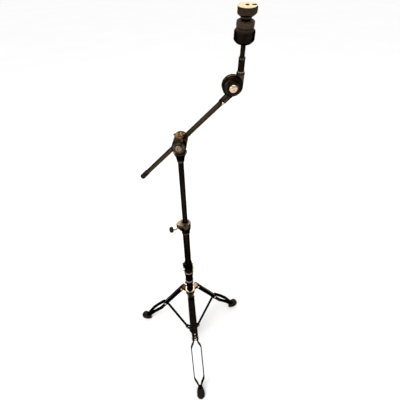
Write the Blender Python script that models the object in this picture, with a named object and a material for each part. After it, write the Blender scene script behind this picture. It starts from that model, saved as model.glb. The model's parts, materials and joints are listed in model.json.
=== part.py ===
"""Cymbal boom stand: three folding double-brace legs, three telescoping tubes,
a tilting boom clamp, a boom with a cymbal tilter, and the cymbal seat.
Lengths below are in millimetres and become metres when a mesh is made."""

import math

import bmesh
import bpy
from mathutils import Matrix, Vector

for old in list(bpy.data.objects):
    bpy.data.objects.remove(old)

MM = 0.001
GAP = 0.3

# The pole's axis stands behind the middle of the footprint.
POLE_Y = 62.0

# Tubes: outer radius, inner radius, bottom, top.
BASE_TUBE = (12.7, 11.5, 30.0, 484.0)
MIDDLE_TUBE = (11.1, 9.6, 330.0, 733.0)
UPPER_TUBE = (7.95, 6.7, 545.0, 970.0)
BOOM_RADIUS = 6.35
BOOM_BORE = 5.2
BOOM_LOW_END = 167.0
BOOM_HIGH_END = 166.0

# Tripod: hub pivot, knee and lower pivot as (radius, height); one leg points at -Y.
LEG_AZIMUTHS = (-90.0, 30.0, 150.0)
HUB_PIVOT = (32.0, 366.0)
KNEE = (120.4, 207.3)
LOWER_PIVOT = (28.5, 54.4)
FOOT_RADIUS = 249.0
FOOT_CENTRE_Z = 15.0
FOOT_SIZE = (50.0, 32.0, 30.0)
CHANNEL_WIDTH = 24.0
CHANNEL_DEPTH = 14.0
CHANNEL_WALL = 2.0
STRAP_THICK = 4.0
STRAP_DEPTH = 13.5
LOOP_SPREAD = 39.0

# Boom clamp and boom.
CLAMP_Z = 1014.0
CLAMP_TURN = math.radians(12.0)
CLAMP_RADIUS = 19.0
BOOM_OFFSET = 20.0
BOOM_RISE = math.radians(45.0)
BOOM_ROLL = math.radians(14.0)

# Tilter and cymbal rod.
TILTER_ALONG = 194.5
TILTER_SIDE = 12.4
TILTER_RADIUS = 24.0
TILTER_HALF = 10.0
ROD_BEND = math.radians(44.25)
ROD_SIDE = 16.5
ROD_RADIUS = 5.25
THREAD_RADIUS = 4.0


def material(name, colour, roughness, metallic):
    made = bpy.data.materials.new(name)
    made.use_nodes = True
    shader = made.node_tree.nodes["Principled BSDF"]
    shader.inputs["Base Color"].default_value = (*colour, 1.0)
    shader.inputs["Roughness"].default_value = roughness
    shader.inputs["Metallic"].default_value = metallic
    return made


BLACK_NICKEL = material("black_nickel", (0.045, 0.036, 0.030), 0.25, 1.0)
CASTING = material("black_plated_casting", (0.035, 0.029, 0.025), 0.32, 1.0)
CHROME = material("warm_chrome", (0.78, 0.72, 0.63), 0.12, 1.0)
RUBBER = material("black_rubber", (0.014, 0.014, 0.014), 0.75, 0.0)
PLASTIC = material("black_plastic", (0.018, 0.017, 0.016), 0.45, 0.0)
PLATED = material("plated_plastic", (0.045, 0.037, 0.031), 0.30, 1.0)
FELT = material("brown_felt", (0.105, 0.078, 0.058), 0.95, 0.0)


def frame(name, origin, x_axis, z_axis):
    """An empty at a joint. Its Z is z_axis and its X leans to x_axis."""
    z = Vector(z_axis).normalized()
    y = z.cross(Vector(x_axis)).normalized()
    x = y.cross(z)
    turned = Matrix((x, y, z)).transposed().to_4x4()
    empty = bpy.data.objects.new(name, None)
    empty.matrix_world = Matrix.Translation(Vector(origin) * MM) @ turned
    empty.empty_display_size = 0.02
    bpy.context.scene.collection.objects.link(empty)
    return empty


def put(name, shape, parent, finish, at=None):
    """Turns a bmesh in millimetres into a named object under a frame."""
    if at is not None:
        shape.transform(at)
    shape.transform(Matrix.Scale(MM, 4))
    bmesh.ops.recalc_face_normals(shape, faces=shape.faces[:])
    mesh = bpy.data.meshes.new(name)
    shape.to_mesh(mesh)
    shape.free()
    obj = bpy.data.objects.new(name, mesh)
    bpy.context.scene.collection.objects.link(obj)
    obj.parent = parent
    if finish is None:
        obj.hide_render = True
        obj.display_type = "WIRE"
    else:
        mesh.materials.append(finish)
        mesh.shade_smooth()
        mesh.set_sharp_from_angle(angle=math.radians(35.0))
    return obj


def boolean(obj, tool, operation):
    modifier = obj.modifiers.new(tool.name, "BOOLEAN")
    modifier.operation = operation
    modifier.solver = "EXACT"
    modifier.object = tool
    tool.hide_render = True
    tool.display_type = "WIRE"


def cut(obj, *tools):
    for tool in tools:
        boolean(obj, tool, "DIFFERENCE")


def join(obj, *tools):
    for tool in tools:
        boolean(obj, tool, "UNION")


def loft(rings, closed=False):
    """A skin over rings of points; a ring of one point closes an end."""
    shape = bmesh.new()
    made = [[shape.verts.new(point) for point in ring] for ring in rings]
    pairs = list(zip(made, made[1:]))
    if closed:
        pairs.append((made[-1], made[0]))
    for low, high in pairs:
        count = max(len(low), len(high))
        for i in range(count):
            j = (i + 1) % count
            if len(low) == 1:
                shape.faces.new((low[0], high[j], high[i]))
            elif len(high) == 1:
                shape.faces.new((low[i], low[j], high[0]))
            else:
                shape.faces.new((low[i], low[j], high[j], high[i]))
    if not closed:
        for end in (made[0], made[-1]):
            if len(end) > 2:
                shape.faces.new(end)
    return shape


def ring(radius, height, count, x=0.0, y=0.0):
    if radius == 0.0:
        return [(x, y, height)]
    turns = [2.0 * math.pi * i / count for i in range(count)]
    return [(x + radius * math.cos(t), y + radius * math.sin(t), height) for t in turns]


def turned(profile, count=24, x=0.0, y=0.0):
    """A body turned about Z from (radius, height) points; from axis to axis it is solid."""
    solid = profile[0][0] == 0.0 and profile[-1][0] == 0.0
    rings = [ring(radius, height, count, x, y) for radius, height in profile]
    return loft(rings, closed=not solid)


def rod(radius, low, high, count=20, x=0.0, y=0.0):
    return turned([(0.0, low), (radius, low), (radius, high), (0.0, high)], count, x, y)


def tube(outer, inner, low, high, count=24):
    return turned([(outer, low), (outer, high), (inner, high), (inner, low)], count)


def box(x0, x1, y0, y1, z0, z1):
    base = [(x0, y0), (x1, y0), (x1, y1), (x0, y1)]
    return loft([[(x, y, z) for x, y in base] for z in (z0, z1)])


def prism(outline, low, high, chamfer=0.0):
    """An outline in XY raised along Z, with its two rims drawn in by a chamfer."""
    middle = Vector((sum(p[0] for p in outline), sum(p[1] for p in outline))) / len(outline)
    small = []
    for x, y in outline:
        out = Vector((x, y)) - middle
        point = middle + out * (1.0 - chamfer / max(out.length, 1.0))
        small.append((point.x, point.y))
    levels = [(outline, low), (outline, high)]
    if chamfer:
        levels = [(small, low), (outline, low + chamfer)]
        levels += [(outline, high - chamfer), (small, high)]
    return loft([[(x, y, z) for x, y in points] for points, z in levels])


def slot_outline(length, radius, count=8, start=0.0):
    """A bar with round ends, from start to length along X."""
    points = []
    for i in range(count + 1):
        t = -math.pi / 2.0 + math.pi * i / count
        points.append((length + radius * math.cos(t), radius * math.sin(t)))
    for i in range(count + 1):
        t = math.pi / 2.0 + math.pi * i / count
        points.append((start + radius * math.cos(t), radius * math.sin(t)))
    return points


def teardrop_outline(large, small, reach, count=8):
    """A circle drawn out along X to a smaller one."""
    lean = math.acos((large - small) / reach)
    points = []
    for i in range(2 * count + 1):
        t = lean + (2.0 * math.pi - 2.0 * lean) * i / (2 * count)
        points.append((large * math.cos(t), large * math.sin(t)))
    for i in range(count + 1):
        t = -lean + 2.0 * lean * i / count
        points.append((reach + small * math.cos(t), small * math.sin(t)))
    return points


def rounded_outline(half_x, half_y, corner, count=5):
    points = []
    for quarter, (sx, sy) in enumerate(((1, 1), (-1, 1), (-1, -1), (1, -1))):
        for i in range(count + 1):
            t = math.pi / 2.0 * (quarter + i / count)
            x = sx * (half_x - corner) + corner * math.cos(t)
            y = sy * (half_y - corner) + corner * math.sin(t)
            points.append((x, y))
    return points


def turn(axis, degrees):
    return Matrix.Rotation(math.radians(degrees), 4, axis)


def shift(x, y, z):
    return Matrix.Translation((x, y, z))


# Local Z becomes the frame's X.
ALONG = turn("Y", 90.0)
# Local Z becomes the frame's Y.
BACKWARD = turn("X", -90.0)


def domed_head(radius, height, at_z, shank_radius, shank_to):
    """A round-headed pin that starts at shank_to and ends in a dome above at_z."""
    return turned(
        [
            (0.0, shank_to),
            (shank_radius, shank_to),
            (shank_radius, at_z),
            (radius, at_z),
            (radius * 0.94, at_z + height * 0.45),
            (radius * 0.65, at_z + height * 0.85),
            (0.0, at_z + height),
        ],
        12,
    )


def rivet(radius, height, half_length, shank_radius):
    """A pin with a dome at each end, its middle at the origin."""
    half = [
        (shank_radius, half_length),
        (radius, half_length),
        (radius * 0.94, half_length + height * 0.45),
        (radius * 0.65, half_length + height * 0.85),
        (0.0, half_length + height),
    ]
    low = [(r, -z) for r, z in reversed(half)]
    return turned(low + half, 12)


def wing_outline(span, root, tip, count=7):
    """Two rounded wings either side of a boss, seen along the screw."""
    points = []
    for side in (1, -1):
        for i in range(count + 1):
            t = -math.pi / 2.0 + math.pi * i / count
            x = side * (span - tip + tip * math.cos(t))
            y = side * tip * math.sin(t)
            points.append((x, y))
        points.append((side * root * 0.9, side * root))
        points.append((-side * root * 0.9, side * root))
    return points


def wing_screw(name, parent, reach, boss, span, shank_radius, shank_to):
    """A screw along Z: shank from shank_to, boss at reach, then two wings."""
    body = put(
        name,
        turned(
            [
                (0.0, shank_to),
                (shank_radius, shank_to),
                (shank_radius, reach),
                (boss, reach),
                (boss * 0.92, reach + 9.0),
                (boss * 0.70, reach + 12.0),
                (0.0, reach + 12.0),
            ],
            16,
        ),
        parent,
        CASTING,
    )
    blade = prism(wing_outline(span, 3.2, 4.6), -3.0, 3.0, 0.8)
    stand = shift(0.0, 0.0, reach + 11.0) @ turn("X", 90.0)
    wings = put(name + "_wings", blade, parent, None, stand)
    join(body, wings)
    return body


# ---------------------------------------------------------------- pole, from the floor up

pole = frame("pole_axis", (0.0, POLE_Y, 0.0), (1, 0, 0), (0, 0, 1))
middle = frame("middle_tube_axis", (0.0, POLE_Y, 489.0), (1, 0, 0), (0, 0, 1))
upper = frame("upper_tube_axis", (0.0, POLE_Y, 735.0), (1, 0, 0), (0, 0, 1))
hub = frame("hub_axis", (0.0, POLE_Y, 366.0), (1, 0, 0), (0, 0, 1))
LIFT_MIDDLE = shift(0.0, 0.0, -489.0)
LIFT_UPPER = shift(0.0, 0.0, -735.0)
LIFT_HUB = shift(0.0, 0.0, -366.0)

base_tube = put("base_tube", tube(*BASE_TUBE), pole, BLACK_NICKEL)
plug = [(0.0, 25.0), (10.7, 25.0), (12.7, 27.0), (12.7, 29.7), (11.2, 29.7), (11.2, 42.0), (0.0, 42.0)]
put("tube_end_plug", turned(plug), pole, RUBBER)

lower_collar = put(
    "lower_collar",
    turned([(15.8, 43.0), (17.0, 44.2), (17.0, 65.0), (15.8, 66.2), (13.0, 66.2), (13.0, 43.0)]),
    pole,
    CASTING,
)
for number, azimuth in enumerate(LEG_AZIMUTHS, 1):
    for side in (-1, 1):
        lug = prism(slot_outline(LOWER_PIVOT[0], 5.6, 6, 15.0), -2.2, 2.2)
        place = turn("Z", azimuth) @ shift(0.0, side * 5.6, LOWER_PIVOT[1]) @ turn("X", 90.0)
        join(lower_collar, put(f"lower_lug_{number}_{side}", lug, pole, None, place))
    hole = rod(2.5, -12.0, 12.0, 12)
    place = turn("Z", azimuth) @ shift(LOWER_PIVOT[0], 0.0, LOWER_PIVOT[1]) @ turn("X", 90.0)
    cut(lower_collar, put(f"lower_hole_{number}", hole, pole, None, place))
cut(lower_collar, put("lower_bore", rod(13.0, 30.0, 80.0, 24), pole, None))

hub_profile = [
    (16.6, 350.0),
    (17.4, 351.0),
    (17.4, 369.0),
    (18.6, 370.4),
    (18.6, 373.2),
    (17.6, 374.4),
    (13.0, 374.4),
    (13.0, 350.0),
]
hub_collar = put("hub_collar", turned(hub_profile), hub, CASTING, LIFT_HUB)
for number, azimuth in enumerate(LEG_AZIMUTHS, 1):
    ear = prism(slot_outline(HUB_PIVOT[0], 6.4, 8, 15.5), -9.5, 9.5, 0.8)
    place = turn("Z", azimuth) @ turn("X", 90.0)
    join(hub_collar, put(f"hub_ear_{number}", ear, hub, None, place))
    hole = rod(2.8, -12.0, 12.0, 12)
    place = turn("Z", azimuth) @ shift(HUB_PIVOT[0], 0.0, 0.0) @ turn("X", 90.0)
    cut(hub_collar, put(f"hub_hole_{number}", hole, hub, None, place))
cut(hub_collar, put("hub_bore", rod(13.0, -30.0, 30.0, 24), hub, None))
hub_boss = rod(6.5, 15.0, 24.0)
join(hub_collar, put("hub_boss", hub_boss, hub, None, shift(0.0, 0.0, -5.0) @ BACKWARD))
cut(hub_collar, put("hub_tap", rod(3.4, 12.0, 30.0, 16), hub, None, shift(0.0, 0.0, -5.0) @ BACKWARD))
hub_screw = frame("hub_screw_axis", (0.0, POLE_Y, 361.0), (1, 0, 0), (0, 1, 0))
wing_screw("hub_wing_screw", hub_screw, 27.0, 6.0, 18.0, 3.0, 13.4)

clamp_profile = [
    (14.2, 431.0),
    (15.4, 432.0),
    (15.4, 436.2),
    (14.8, 437.0),
    (13.8, 437.2),
    (14.0, 452.0),
    (15.2, 466.0),
    (16.4, 477.5),
    (17.2, 479.0),
    (17.2, 488.0),
    (16.4, 489.2),
    (15.3, 489.2),
    (15.3, 484.0),
    (13.0, 484.0),
    (13.0, 431.0),
]
base_clamp = put("base_clamp", turned(clamp_profile), pole, CASTING)
AT_BASE_SCREW = shift(0.0, 0.0, 460.0) @ BACKWARD
join(base_clamp, put("base_clamp_boss", rod(7.0, 13.2, 23.0), pole, None, AT_BASE_SCREW))
cut(base_clamp, put("base_clamp_tap", rod(3.4, 12.0, 30.0, 16), pole, None, AT_BASE_SCREW))
base_screw = frame("base_screw_axis", (0.0, POLE_Y, 460.0), (1, 0, 0), (0, 1, 0))
wing_screw("base_wing_screw", base_screw, 26.0, 6.5, 20.0, 3.0, 13.4)

base_bush = tube(15.0, 11.4, 484.4, 488.7)
put("base_bush", base_bush, middle, PLASTIC, LIFT_MIDDLE)
put("middle_tube", tube(*MIDDLE_TUBE), middle, BLACK_NICKEL, LIFT_MIDDLE)

lock_profile = [
    (14.0, 493.0),
    (14.9, 494.0),
    (14.9, 503.0),
    (14.2, 504.0),
    (14.2, 524.0),
    (14.9, 525.0),
    (14.9, 534.0),
    (14.0, 535.0),
    (11.4, 535.0),
    (11.4, 493.0),
]
memory_lock = put("memory_lock", turned(lock_profile), middle, CASTING, LIFT_MIDDLE)
lug = box(-21.0, -13.0, -6.0, 6.0, 8.0, 42.0)
join(memory_lock, put("lock_lug", lug, middle, None))
cut(memory_lock, put("lock_split", box(-25.0, -10.0, -0.8, 0.8, 0.0, 50.0), middle, None))
AT_KEY = shift(-17.2, 0.0, 25.0) @ turn("X", 90.0)
cut(memory_lock, put("lock_hole", rod(2.6, -10.0, 10.0, 16), middle, None, AT_KEY))
hinge = rod(2.7, 5.0, 45.0, 16, 16.2)
join(memory_lock, put("lock_hinge", hinge, middle, None))
key_profile = [
    (0.0, -8.5),
    (2.3, -8.5),
    (2.3, 6.3),
    (4.0, 6.3),
    (4.0, 8.6),
    (0.0, 8.6),
]
lock_screw = put("lock_key_screw", turned(key_profile, 20), middle, CHROME, AT_KEY)
key_head = box(-2.3, 2.3, -2.3, 2.3, 7.5, 13.5)
join(lock_screw, put("lock_key_head", key_head, middle, None, AT_KEY))

height_profile = [
    (12.6, 690.0),
    (13.4, 691.2),
    (13.4, 698.0),
    (15.4, 705.0),
    (16.8, 712.0),
    (17.2, 716.0),
    (17.2, 735.5),
    (16.4, 737.0),
    (13.4, 737.0),
    (13.4, 733.0),
    (11.4, 733.0),
    (11.4, 690.0),
]
height_clamp = put("height_clamp", turned(height_profile), middle, CASTING, LIFT_MIDDLE)
T_TURN = turn("Z", 188.0)
AT_T = T_TURN @ shift(0.0, 0.0, 716.0 - 489.0) @ ALONG
lobe_profile = [(0.0, 12.5), (9.5, 12.5), (9.5, 25.0), (8.0, 29.0), (0.0, 29.0)]
join(height_clamp, put("height_lobe", turned(lobe_profile, 20), middle, None, AT_T))
plate = prism(teardrop_outline(17.2, 8.8, 20.0), 727.0, 736.9, 0.8)
join(height_clamp, put("height_plate", plate, middle, None, LIFT_MIDDLE @ T_TURN))
cut(height_clamp, put("height_bore", rod(11.4, 680.0, 733.0, 24), middle, None, LIFT_MIDDLE))
cut(height_clamp, put("height_seat", rod(13.4, 733.0, 750.0, 24), middle, None, LIFT_MIDDLE))
cut(height_clamp, put("height_tap", rod(3.6, 11.0, 32.0, 16), middle, None, AT_T))
t_screw = frame(
    "t_screw_axis",
    (0.0, POLE_Y, 716.0),
    (0, 0, 1),
    (math.cos(math.radians(188.0)), math.sin(math.radians(188.0)), 0),
)
t_profile = [
    (0.0, 11.9),
    (3.2, 11.9),
    (3.2, 31.0),
    (5.4, 32.0),
    (5.4, 38.0),
    (3.4, 39.0),
    (3.4, 45.0),
    (0.0, 45.0),
]
put("t_screw_stem", turned(t_profile, 20), t_screw, CHROME)
knob_levels = ((3.5, 39.6), (6.0, 41.0), (6.6, 46.0), (5.6, 51.0), (3.0, 52.8))
knob_rings = []
for half, level in knob_levels:
    outline = rounded_outline(half + 4.6, half, half * 0.95, 6)
    knob_rings.append([(x, y, level) for x, y in outline])
knob = put("t_screw_knob", loft(knob_rings), t_screw, PLASTIC)
cut(knob, put("knob_bore", rod(3.7, 35.0, 45.3, 16), t_screw, None))

bush_profile = [
    (13.0, 733.4),
    (13.0, 737.6),
    (12.0, 738.8),
    (8.25, 738.8),
    (8.25, 712.0),
    (9.3, 712.0),
    (9.3, 733.4),
]
put("height_bush", turned(bush_profile), upper, PLASTIC, LIFT_UPPER)
put("upper_tube", tube(*UPPER_TUBE), upper, BLACK_NICKEL, LIFT_UPPER)

# ---------------------------------------------------------------- three folding legs

fall = math.atan2(KNEE[0] - HUB_PIVOT[0], HUB_PIVOT[1] - KNEE[1])
leg_length = math.hypot(KNEE[0] - HUB_PIVOT[0], HUB_PIVOT[1] - KNEE[1])
rise = math.atan2(KNEE[0] - LOWER_PIVOT[0], KNEE[1] - LOWER_PIVOT[1])
brace_length = math.hypot(KNEE[0] - LOWER_PIVOT[0], KNEE[1] - LOWER_PIVOT[1])
foot_r = FOOT_RADIUS - HUB_PIVOT[0]
foot_z = FOOT_CENTRE_Z - HUB_PIVOT[1]
foot_x = foot_r * math.sin(fall) - foot_z * math.cos(fall)
foot_rise = foot_r * math.cos(fall) + foot_z * math.sin(fall)
loop_start = leg_length - 20.0
loop_end = foot_x + 8.0


def loop_centre(x):
    """Height of the strap's middle line in the leg's frame: it bows outward."""
    t = max(x - leg_length - 11.0, 0.0) / (foot_x - leg_length - 11.0)
    return foot_rise * t + 5.0 * math.sin(math.pi * min(t, 1.0)) - 2.1


def loop_half(x):
    """Half the distance between the two strands of the leg's loop."""
    narrow = 10.0 - GAP - STRAP_THICK / 2.0
    tip = 5.5
    wide = LOOP_SPREAD / 2.0
    span = foot_x - leg_length
    t = (x - leg_length - 11.5) / (0.13 * span)
    spread = min(max(t, 0.0), 1.0)
    spread = spread * spread * (3.0 - 2.0 * spread)
    u = (foot_x - 25.0 - x) / (0.19 * span)
    close = min(max(u, 0.0), 1.0)
    close = close * close * (3.0 - 2.0 * close)
    return min(narrow + (wide - narrow) * spread, tip + (wide - tip) * close)


for number, azimuth in enumerate(LEG_AZIMUTHS, 1):
    out = Vector((math.cos(math.radians(azimuth)), math.sin(math.radians(azimuth)), 0.0))
    up = Vector((0.0, 0.0, 1.0))
    foot_of_pole = Vector((0.0, POLE_Y, 0.0))
    down_leg = out * math.sin(fall) - up * math.cos(fall)
    face = out * math.cos(fall) + up * math.sin(fall)
    hip = foot_of_pole + out * HUB_PIVOT[0] + up * HUB_PIVOT[1]
    leg = frame(f"leg_{number}_pivot", hip, down_leg, face)
    ankle = foot_of_pole + out * LOWER_PIVOT[0] + up * LOWER_PIVOT[1]
    along_brace = out * math.sin(rise) + up * math.cos(rise)
    brace_face = up * math.sin(rise) - out * math.cos(rise)
    stay = frame(f"brace_{number}_pivot", ankle, along_brace, brace_face)

    half = CHANNEL_WIDTH / 2.0
    deep = CHANNEL_DEPTH / 2.0
    side = slot_outline(leg_length + 4.0, deep, 8)
    channel = put(f"leg_{number}_channel", prism(side, -half, half), leg, BLACK_NICKEL, turn("X", 90.0))
    inner = half - CHANNEL_WALL
    hollow = box(-20.0, leg_length + 20.0, -inner, inner, -20.0, deep - CHANNEL_WALL)
    cut(channel, put(f"channel_hollow_{number}", hollow, leg, None))
    mouth = box(-20.0, 13.0, -inner, inner, 0.0, 20.0)
    cut(channel, put(f"channel_mouth_{number}", mouth, leg, None))
    window = prism(slot_outline(leg_length + 2.0, 4.2, 6, leg_length - 26.0), 0.0, 20.0)
    cut(channel, put(f"channel_window_{number}", window, leg, None))
    for where, at_x in (("hip", 0.0), ("knee", leg_length)):
        hole = rod(2.8, -20.0, 20.0, 12)
        place = shift(at_x, 0.0, 0.0) @ turn("X", 90.0)
        cut(channel, put(f"channel_{where}_hole_{number}", hole, leg, None, place))
    put(f"leg_{number}_hub_rivet", rivet(4.6, 2.4, half + GAP, 2.5), leg, CHROME, turn("X", 90.0))

    steps = [loop_start, leg_length + 4.0, leg_length + 11.5]
    steps += [leg_length + 11.5 + 0.13 * (foot_x - leg_length) * k / 5.0 for k in range(1, 6)]
    steps += [steps[-1] + (foot_x - 75.0 - steps[-1]) * k / 6.0 for k in range(1, 7)]
    steps += [foot_x - 25.0 - 44.0 + 44.0 * k / 7.0 for k in range(0, 8)]
    steps += [foot_x - 4.0]
    strands = [(x, loop_half(x)) for x in steps]
    bend = []
    for k in range(1, 6):
        t = math.pi / 2.0 * (1.0 - 2.0 * k / 6.0)
        bend.append((foot_x - 4.0 + 5.5 * math.cos(t), 5.5 * math.sin(t)))
    line = strands + bend + [(x, -y) for x, y in reversed(strands)]
    rings = []
    for k, (x, y) in enumerate(line):
        before = line[max(k - 1, 0)]
        after = line[min(k + 1, len(line) - 1)]
        heading = Vector((after[0] - before[0], after[1] - before[1])).normalized()
        across = Vector((-heading.y, heading.x)) * STRAP_THICK / 2.0
        z = loop_centre(x)
        rings.append(
            [
                (x + across.x, y + across.y, z - STRAP_DEPTH / 2.0),
                (x + across.x, y + across.y, z + STRAP_DEPTH / 2.0),
                (x - across.x, y - across.y, z + STRAP_DEPTH / 2.0),
                (x - across.x, y - across.y, z - STRAP_DEPTH / 2.0),
            ]
        )
    strap = put(f"leg_{number}_loop", loft(rings), leg, BLACK_NICKEL)
    hole = rod(2.8, -20.0, 20.0, 12)
    place = shift(leg_length, 0.0, 0.0) @ turn("X", 90.0)
    cut(strap, put(f"loop_hole_{number}", hole, leg, None, place))
    for name, lie in (("left", turn("X", -90.0)), ("right", turn("X", 90.0))):
        head = domed_head(4.8, 2.4, half + GAP, 2.5, 6.2)
        put(f"leg_{number}_knee_rivet_{name}", head, leg, CHROME, shift(leg_length, 0.0, 0.0) @ lie)

    level = leg.matrix_world.inverted() @ Matrix.Translation(
        (foot_of_pole + out * FOOT_RADIUS) * MM
    ) @ turn("Z", azimuth)
    level.translation = level.translation / MM
    long_half = FOOT_SIZE[0] / 2.0
    wide_half = FOOT_SIZE[1] / 2.0
    levels = (
        (0.0, 0.86, 0.80, 0.0),
        (2.5, 0.97, 0.95, 0.0),
        (10.0, 1.0, 1.0, 0.0),
        (18.0, 0.96, 0.96, -0.5),
        (25.0, 0.80, 0.80, -3.0),
        (30.0, 0.48, 0.50, -7.0),
    )
    foot_rings = []
    for height, sx, sy, back in levels:
        outline = rounded_outline(long_half * sx, wide_half * sy, wide_half * sy * 0.9, 5)
        foot_rings.append([(x + back, y, height) for x, y in outline])
    foot = put(f"leg_{number}_foot", loft(foot_rings), leg, RUBBER, level)
    pocket = prism(slot_outline(foot_x - 4.0, 8.0, 6, foot_x - 60.0), -7.2, 7.2)
    lean = math.atan2(loop_centre(foot_x) - loop_centre(foot_x - 20.0), 20.0)
    place = (
        shift(foot_x, 0.0, loop_centre(foot_x))
        @ turn("Y", -math.degrees(lean))
        @ shift(-foot_x, 0.0, 0.0)
    )
    cut(foot, put(f"foot_pocket_{number}", pocket, leg, None, place))

    bar = prism(slot_outline(brace_length, 5.0, 8), -3.0, 3.0, 0.6)
    brace = put(f"leg_{number}_brace", bar, stay, BLACK_NICKEL, turn("X", 90.0))
    cut(brace, put(f"brace_hole_{number}", rod(2.5, -6.0, 6.0, 12), stay, None, turn("X", 90.0)))
    place = turn("Z", azimuth) @ shift(LOWER_PIVOT[0], 0.0, LOWER_PIVOT[1]) @ turn("X", 90.0)
    put(f"leg_{number}_brace_pin", rivet(3.9, 1.8, 8.1, 2.2), pole, CHROME, place)

# ---------------------------------------------------------------- boom clamp

clamp_back = Vector((math.sin(CLAMP_TURN), math.cos(CLAMP_TURN), 0.0))
clamp_right = Vector((math.cos(CLAMP_TURN), -math.sin(CLAMP_TURN), 0.0))
clamp_middle = Vector((0.0, POLE_Y, CLAMP_Z))
clamp = frame("boom_clamp_axis", clamp_middle, clamp_right, -clamp_back)

neck_profile = [
    (0.0, 25.0),
    (11.0, 25.0),
    (11.6, -19.3),
    (17.6, -19.3),
    (18.5, -20.2),
    (18.5, -22.0),
    (17.0, -24.4),
    (13.6, -32.0),
    (11.2, -41.0),
    (9.8, -47.0),
    (9.6, -51.0),
    (8.25, -51.0),
    (8.25, -43.6),
    (0.0, -43.6),
]
post = put("boom_post", turned(neck_profile), clamp, CASTING, BACKWARD)
cut(post, put("post_cheek", box(-20.0, 20.0, -19.6, 40.0, -30.0, 0.5), clamp, None))
cut(post, put("post_back", box(-30.0, 30.0, -60.0, 40.0, -30.0, -12.3), clamp, None))
cut(post, put("post_crown", box(-20.0, 20.0, 0.0, 40.0, -30.0, 30.0), clamp, None))
disc_profile = [
    (0.0, 0.5),
    (18.2, 0.5),
    (19.0, 1.3),
    (19.0, 14.6),
    (18.0, 16.4),
    (16.8, 17.0),
    (0.0, 17.0),
]
join(post, put("post_disc", turned(disc_profile, 32), clamp, None))
cut(post, put("post_bore", rod(4.5, -5.0, 30.0, 20), clamp, None))
bolt_profile = [
    (0.0, -9.5),
    (4.2, -9.5),
    (4.2, 17.3),
    (8.5, 17.3),
    (8.5, 20.0),
    (7.2, 22.0),
    (4.6, 22.0),
    (3.6, 19.6),
    (0.0, 19.6),
]
put("boom_pivot_bolt", turned(bolt_profile), clamp, CHROME)

flutes = []
for i in range(48):
    t = 2.0 * math.pi * i / 48
    radius = CLAMP_RADIUS if i % 3 else CLAMP_RADIUS - 1.4
    flutes.append((radius * math.cos(t), radius * math.sin(t)))
barrel = put("boom_barrel", prism(flutes, -43.0, -0.5, 0.9), clamp, CASTING)
boom_way = shift(0.0, 0.0, -BOOM_OFFSET) @ turn("Z", 45.0) @ ALONG
cut(barrel, put("barrel_bore", rod(8.9, -40.0, 40.0, 32), clamp, None, boom_way))
cut(barrel, put("barrel_front_bore", rod(4.5, -11.0, 10.0, 20), clamp, None))
cut(barrel, put("barrel_rear_bore", rod(3.8, -60.0, -20.0, 20), clamp, None))
rear = frame("boom_wing_axis", clamp_middle, clamp_right, clamp_back)
wing_screw("boom_wing_nut", rear, 43.4, 8.5, 24.0, 3.4, 29.2)

# ---------------------------------------------------------------- boom and tilter

boom_line = clamp_right * math.cos(BOOM_RISE) + Vector((0, 0, 1)) * math.sin(BOOM_RISE)
boom_side = Vector((0, 0, 1)) * math.cos(BOOM_RISE) - clamp_right * math.sin(BOOM_RISE)
boom_middle = clamp_middle + clamp_back * BOOM_OFFSET
tilt_side = boom_side * math.cos(BOOM_ROLL) - clamp_back * math.sin(BOOM_ROLL)
boom = frame("boom_axis", boom_middle, tilt_side, boom_line)

bush_profile = [
    (8.6, -18.0),
    (8.6, 18.0),
    (6.65, 18.0),
    (6.65, -18.0),
]
put("boom_bush", turned(bush_profile), boom, PLASTIC)
boom_profile = tube(BOOM_RADIUS, BOOM_BORE, -BOOM_LOW_END, BOOM_HIGH_END)
put("boom_tube", boom_profile, boom, BLACK_NICKEL)
cap_profile = [
    (0.0, -170.3),
    (5.4, -170.3),
    (7.0, -168.8),
    (7.5, -166.0),
    (7.5, -144.0),
    (6.9, -142.5),
    (6.65, -142.5),
    (6.65, -167.4),
    (0.0, -167.4),
]
put("boom_end_cap", turned(cap_profile), boom, RUBBER)

tilt_axis = boom_line.cross(tilt_side)
tilt_middle = boom_middle + boom_line * TILTER_ALONG + tilt_side * TILTER_SIDE
tilter = frame("tilter_axis", tilt_middle, boom_line, tilt_axis)
half_drum = [
    (0.0, 0.3),
    (TILTER_RADIUS - 1.2, 0.3),
    (TILTER_RADIUS, 1.5),
    (TILTER_RADIUS, TILTER_HALF - 2.4),
    (TILTER_RADIUS - 2.4, TILTER_HALF),
    (17.9, TILTER_HALF),
    (17.5, 13.4),
    (16.3, 14.6),
    (11.6, 14.6),
    (10.9, 13.2),
    (0.0, 13.2),
]
lower_half = put("tilter_lower", turned(half_drum, 32), tilter, CASTING)
socket = rod(8.2, -47.5, -5.0, 28)
AT_SOCKET = shift(0.0, -TILTER_SIDE, 0.0) @ ALONG
socket_body = put("tilter_socket", socket, tilter, None, AT_SOCKET)
cut(socket_body, put("socket_relief", box(-26.0, 5.0, -40.0, 20.0, -20.0, 0.7), tilter, None))
join(lower_half, socket_body)
cut(lower_half, put("socket_bore", rod(6.65, -60.0, -28.0, 28), tilter, None, AT_SOCKET))
cut(lower_half, put("lower_drum_bore", rod(4.4, -20.0, 30.0, 20), tilter, None))
AT_SET = shift(-42.0, -TILTER_SIDE, 0.0)
cut(lower_half, put("set_hole", rod(2.6, 0.0, 20.0, 16), tilter, None, AT_SET))
set_profile = [(0.0, 6.8), (2.3, 6.8), (2.3, 8.6), (3.3, 8.6), (3.3, 11.2), (2.6, 12.0), (0.0, 12.0)]
put("socket_set_screw", turned(set_profile, 20), tilter, CHROME, AT_SET)
bolt_profile = [
    (0.0, -19.5),
    (4.1, -19.5),
    (4.1, 13.5),
    (10.2, 13.5),
    (10.0, 15.5),
    (8.4, 18.2),
    (5.0, 19.8),
    (0.0, 20.4),
]
put("tilter_bolt", turned(bolt_profile), tilter, CHROME)

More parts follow.
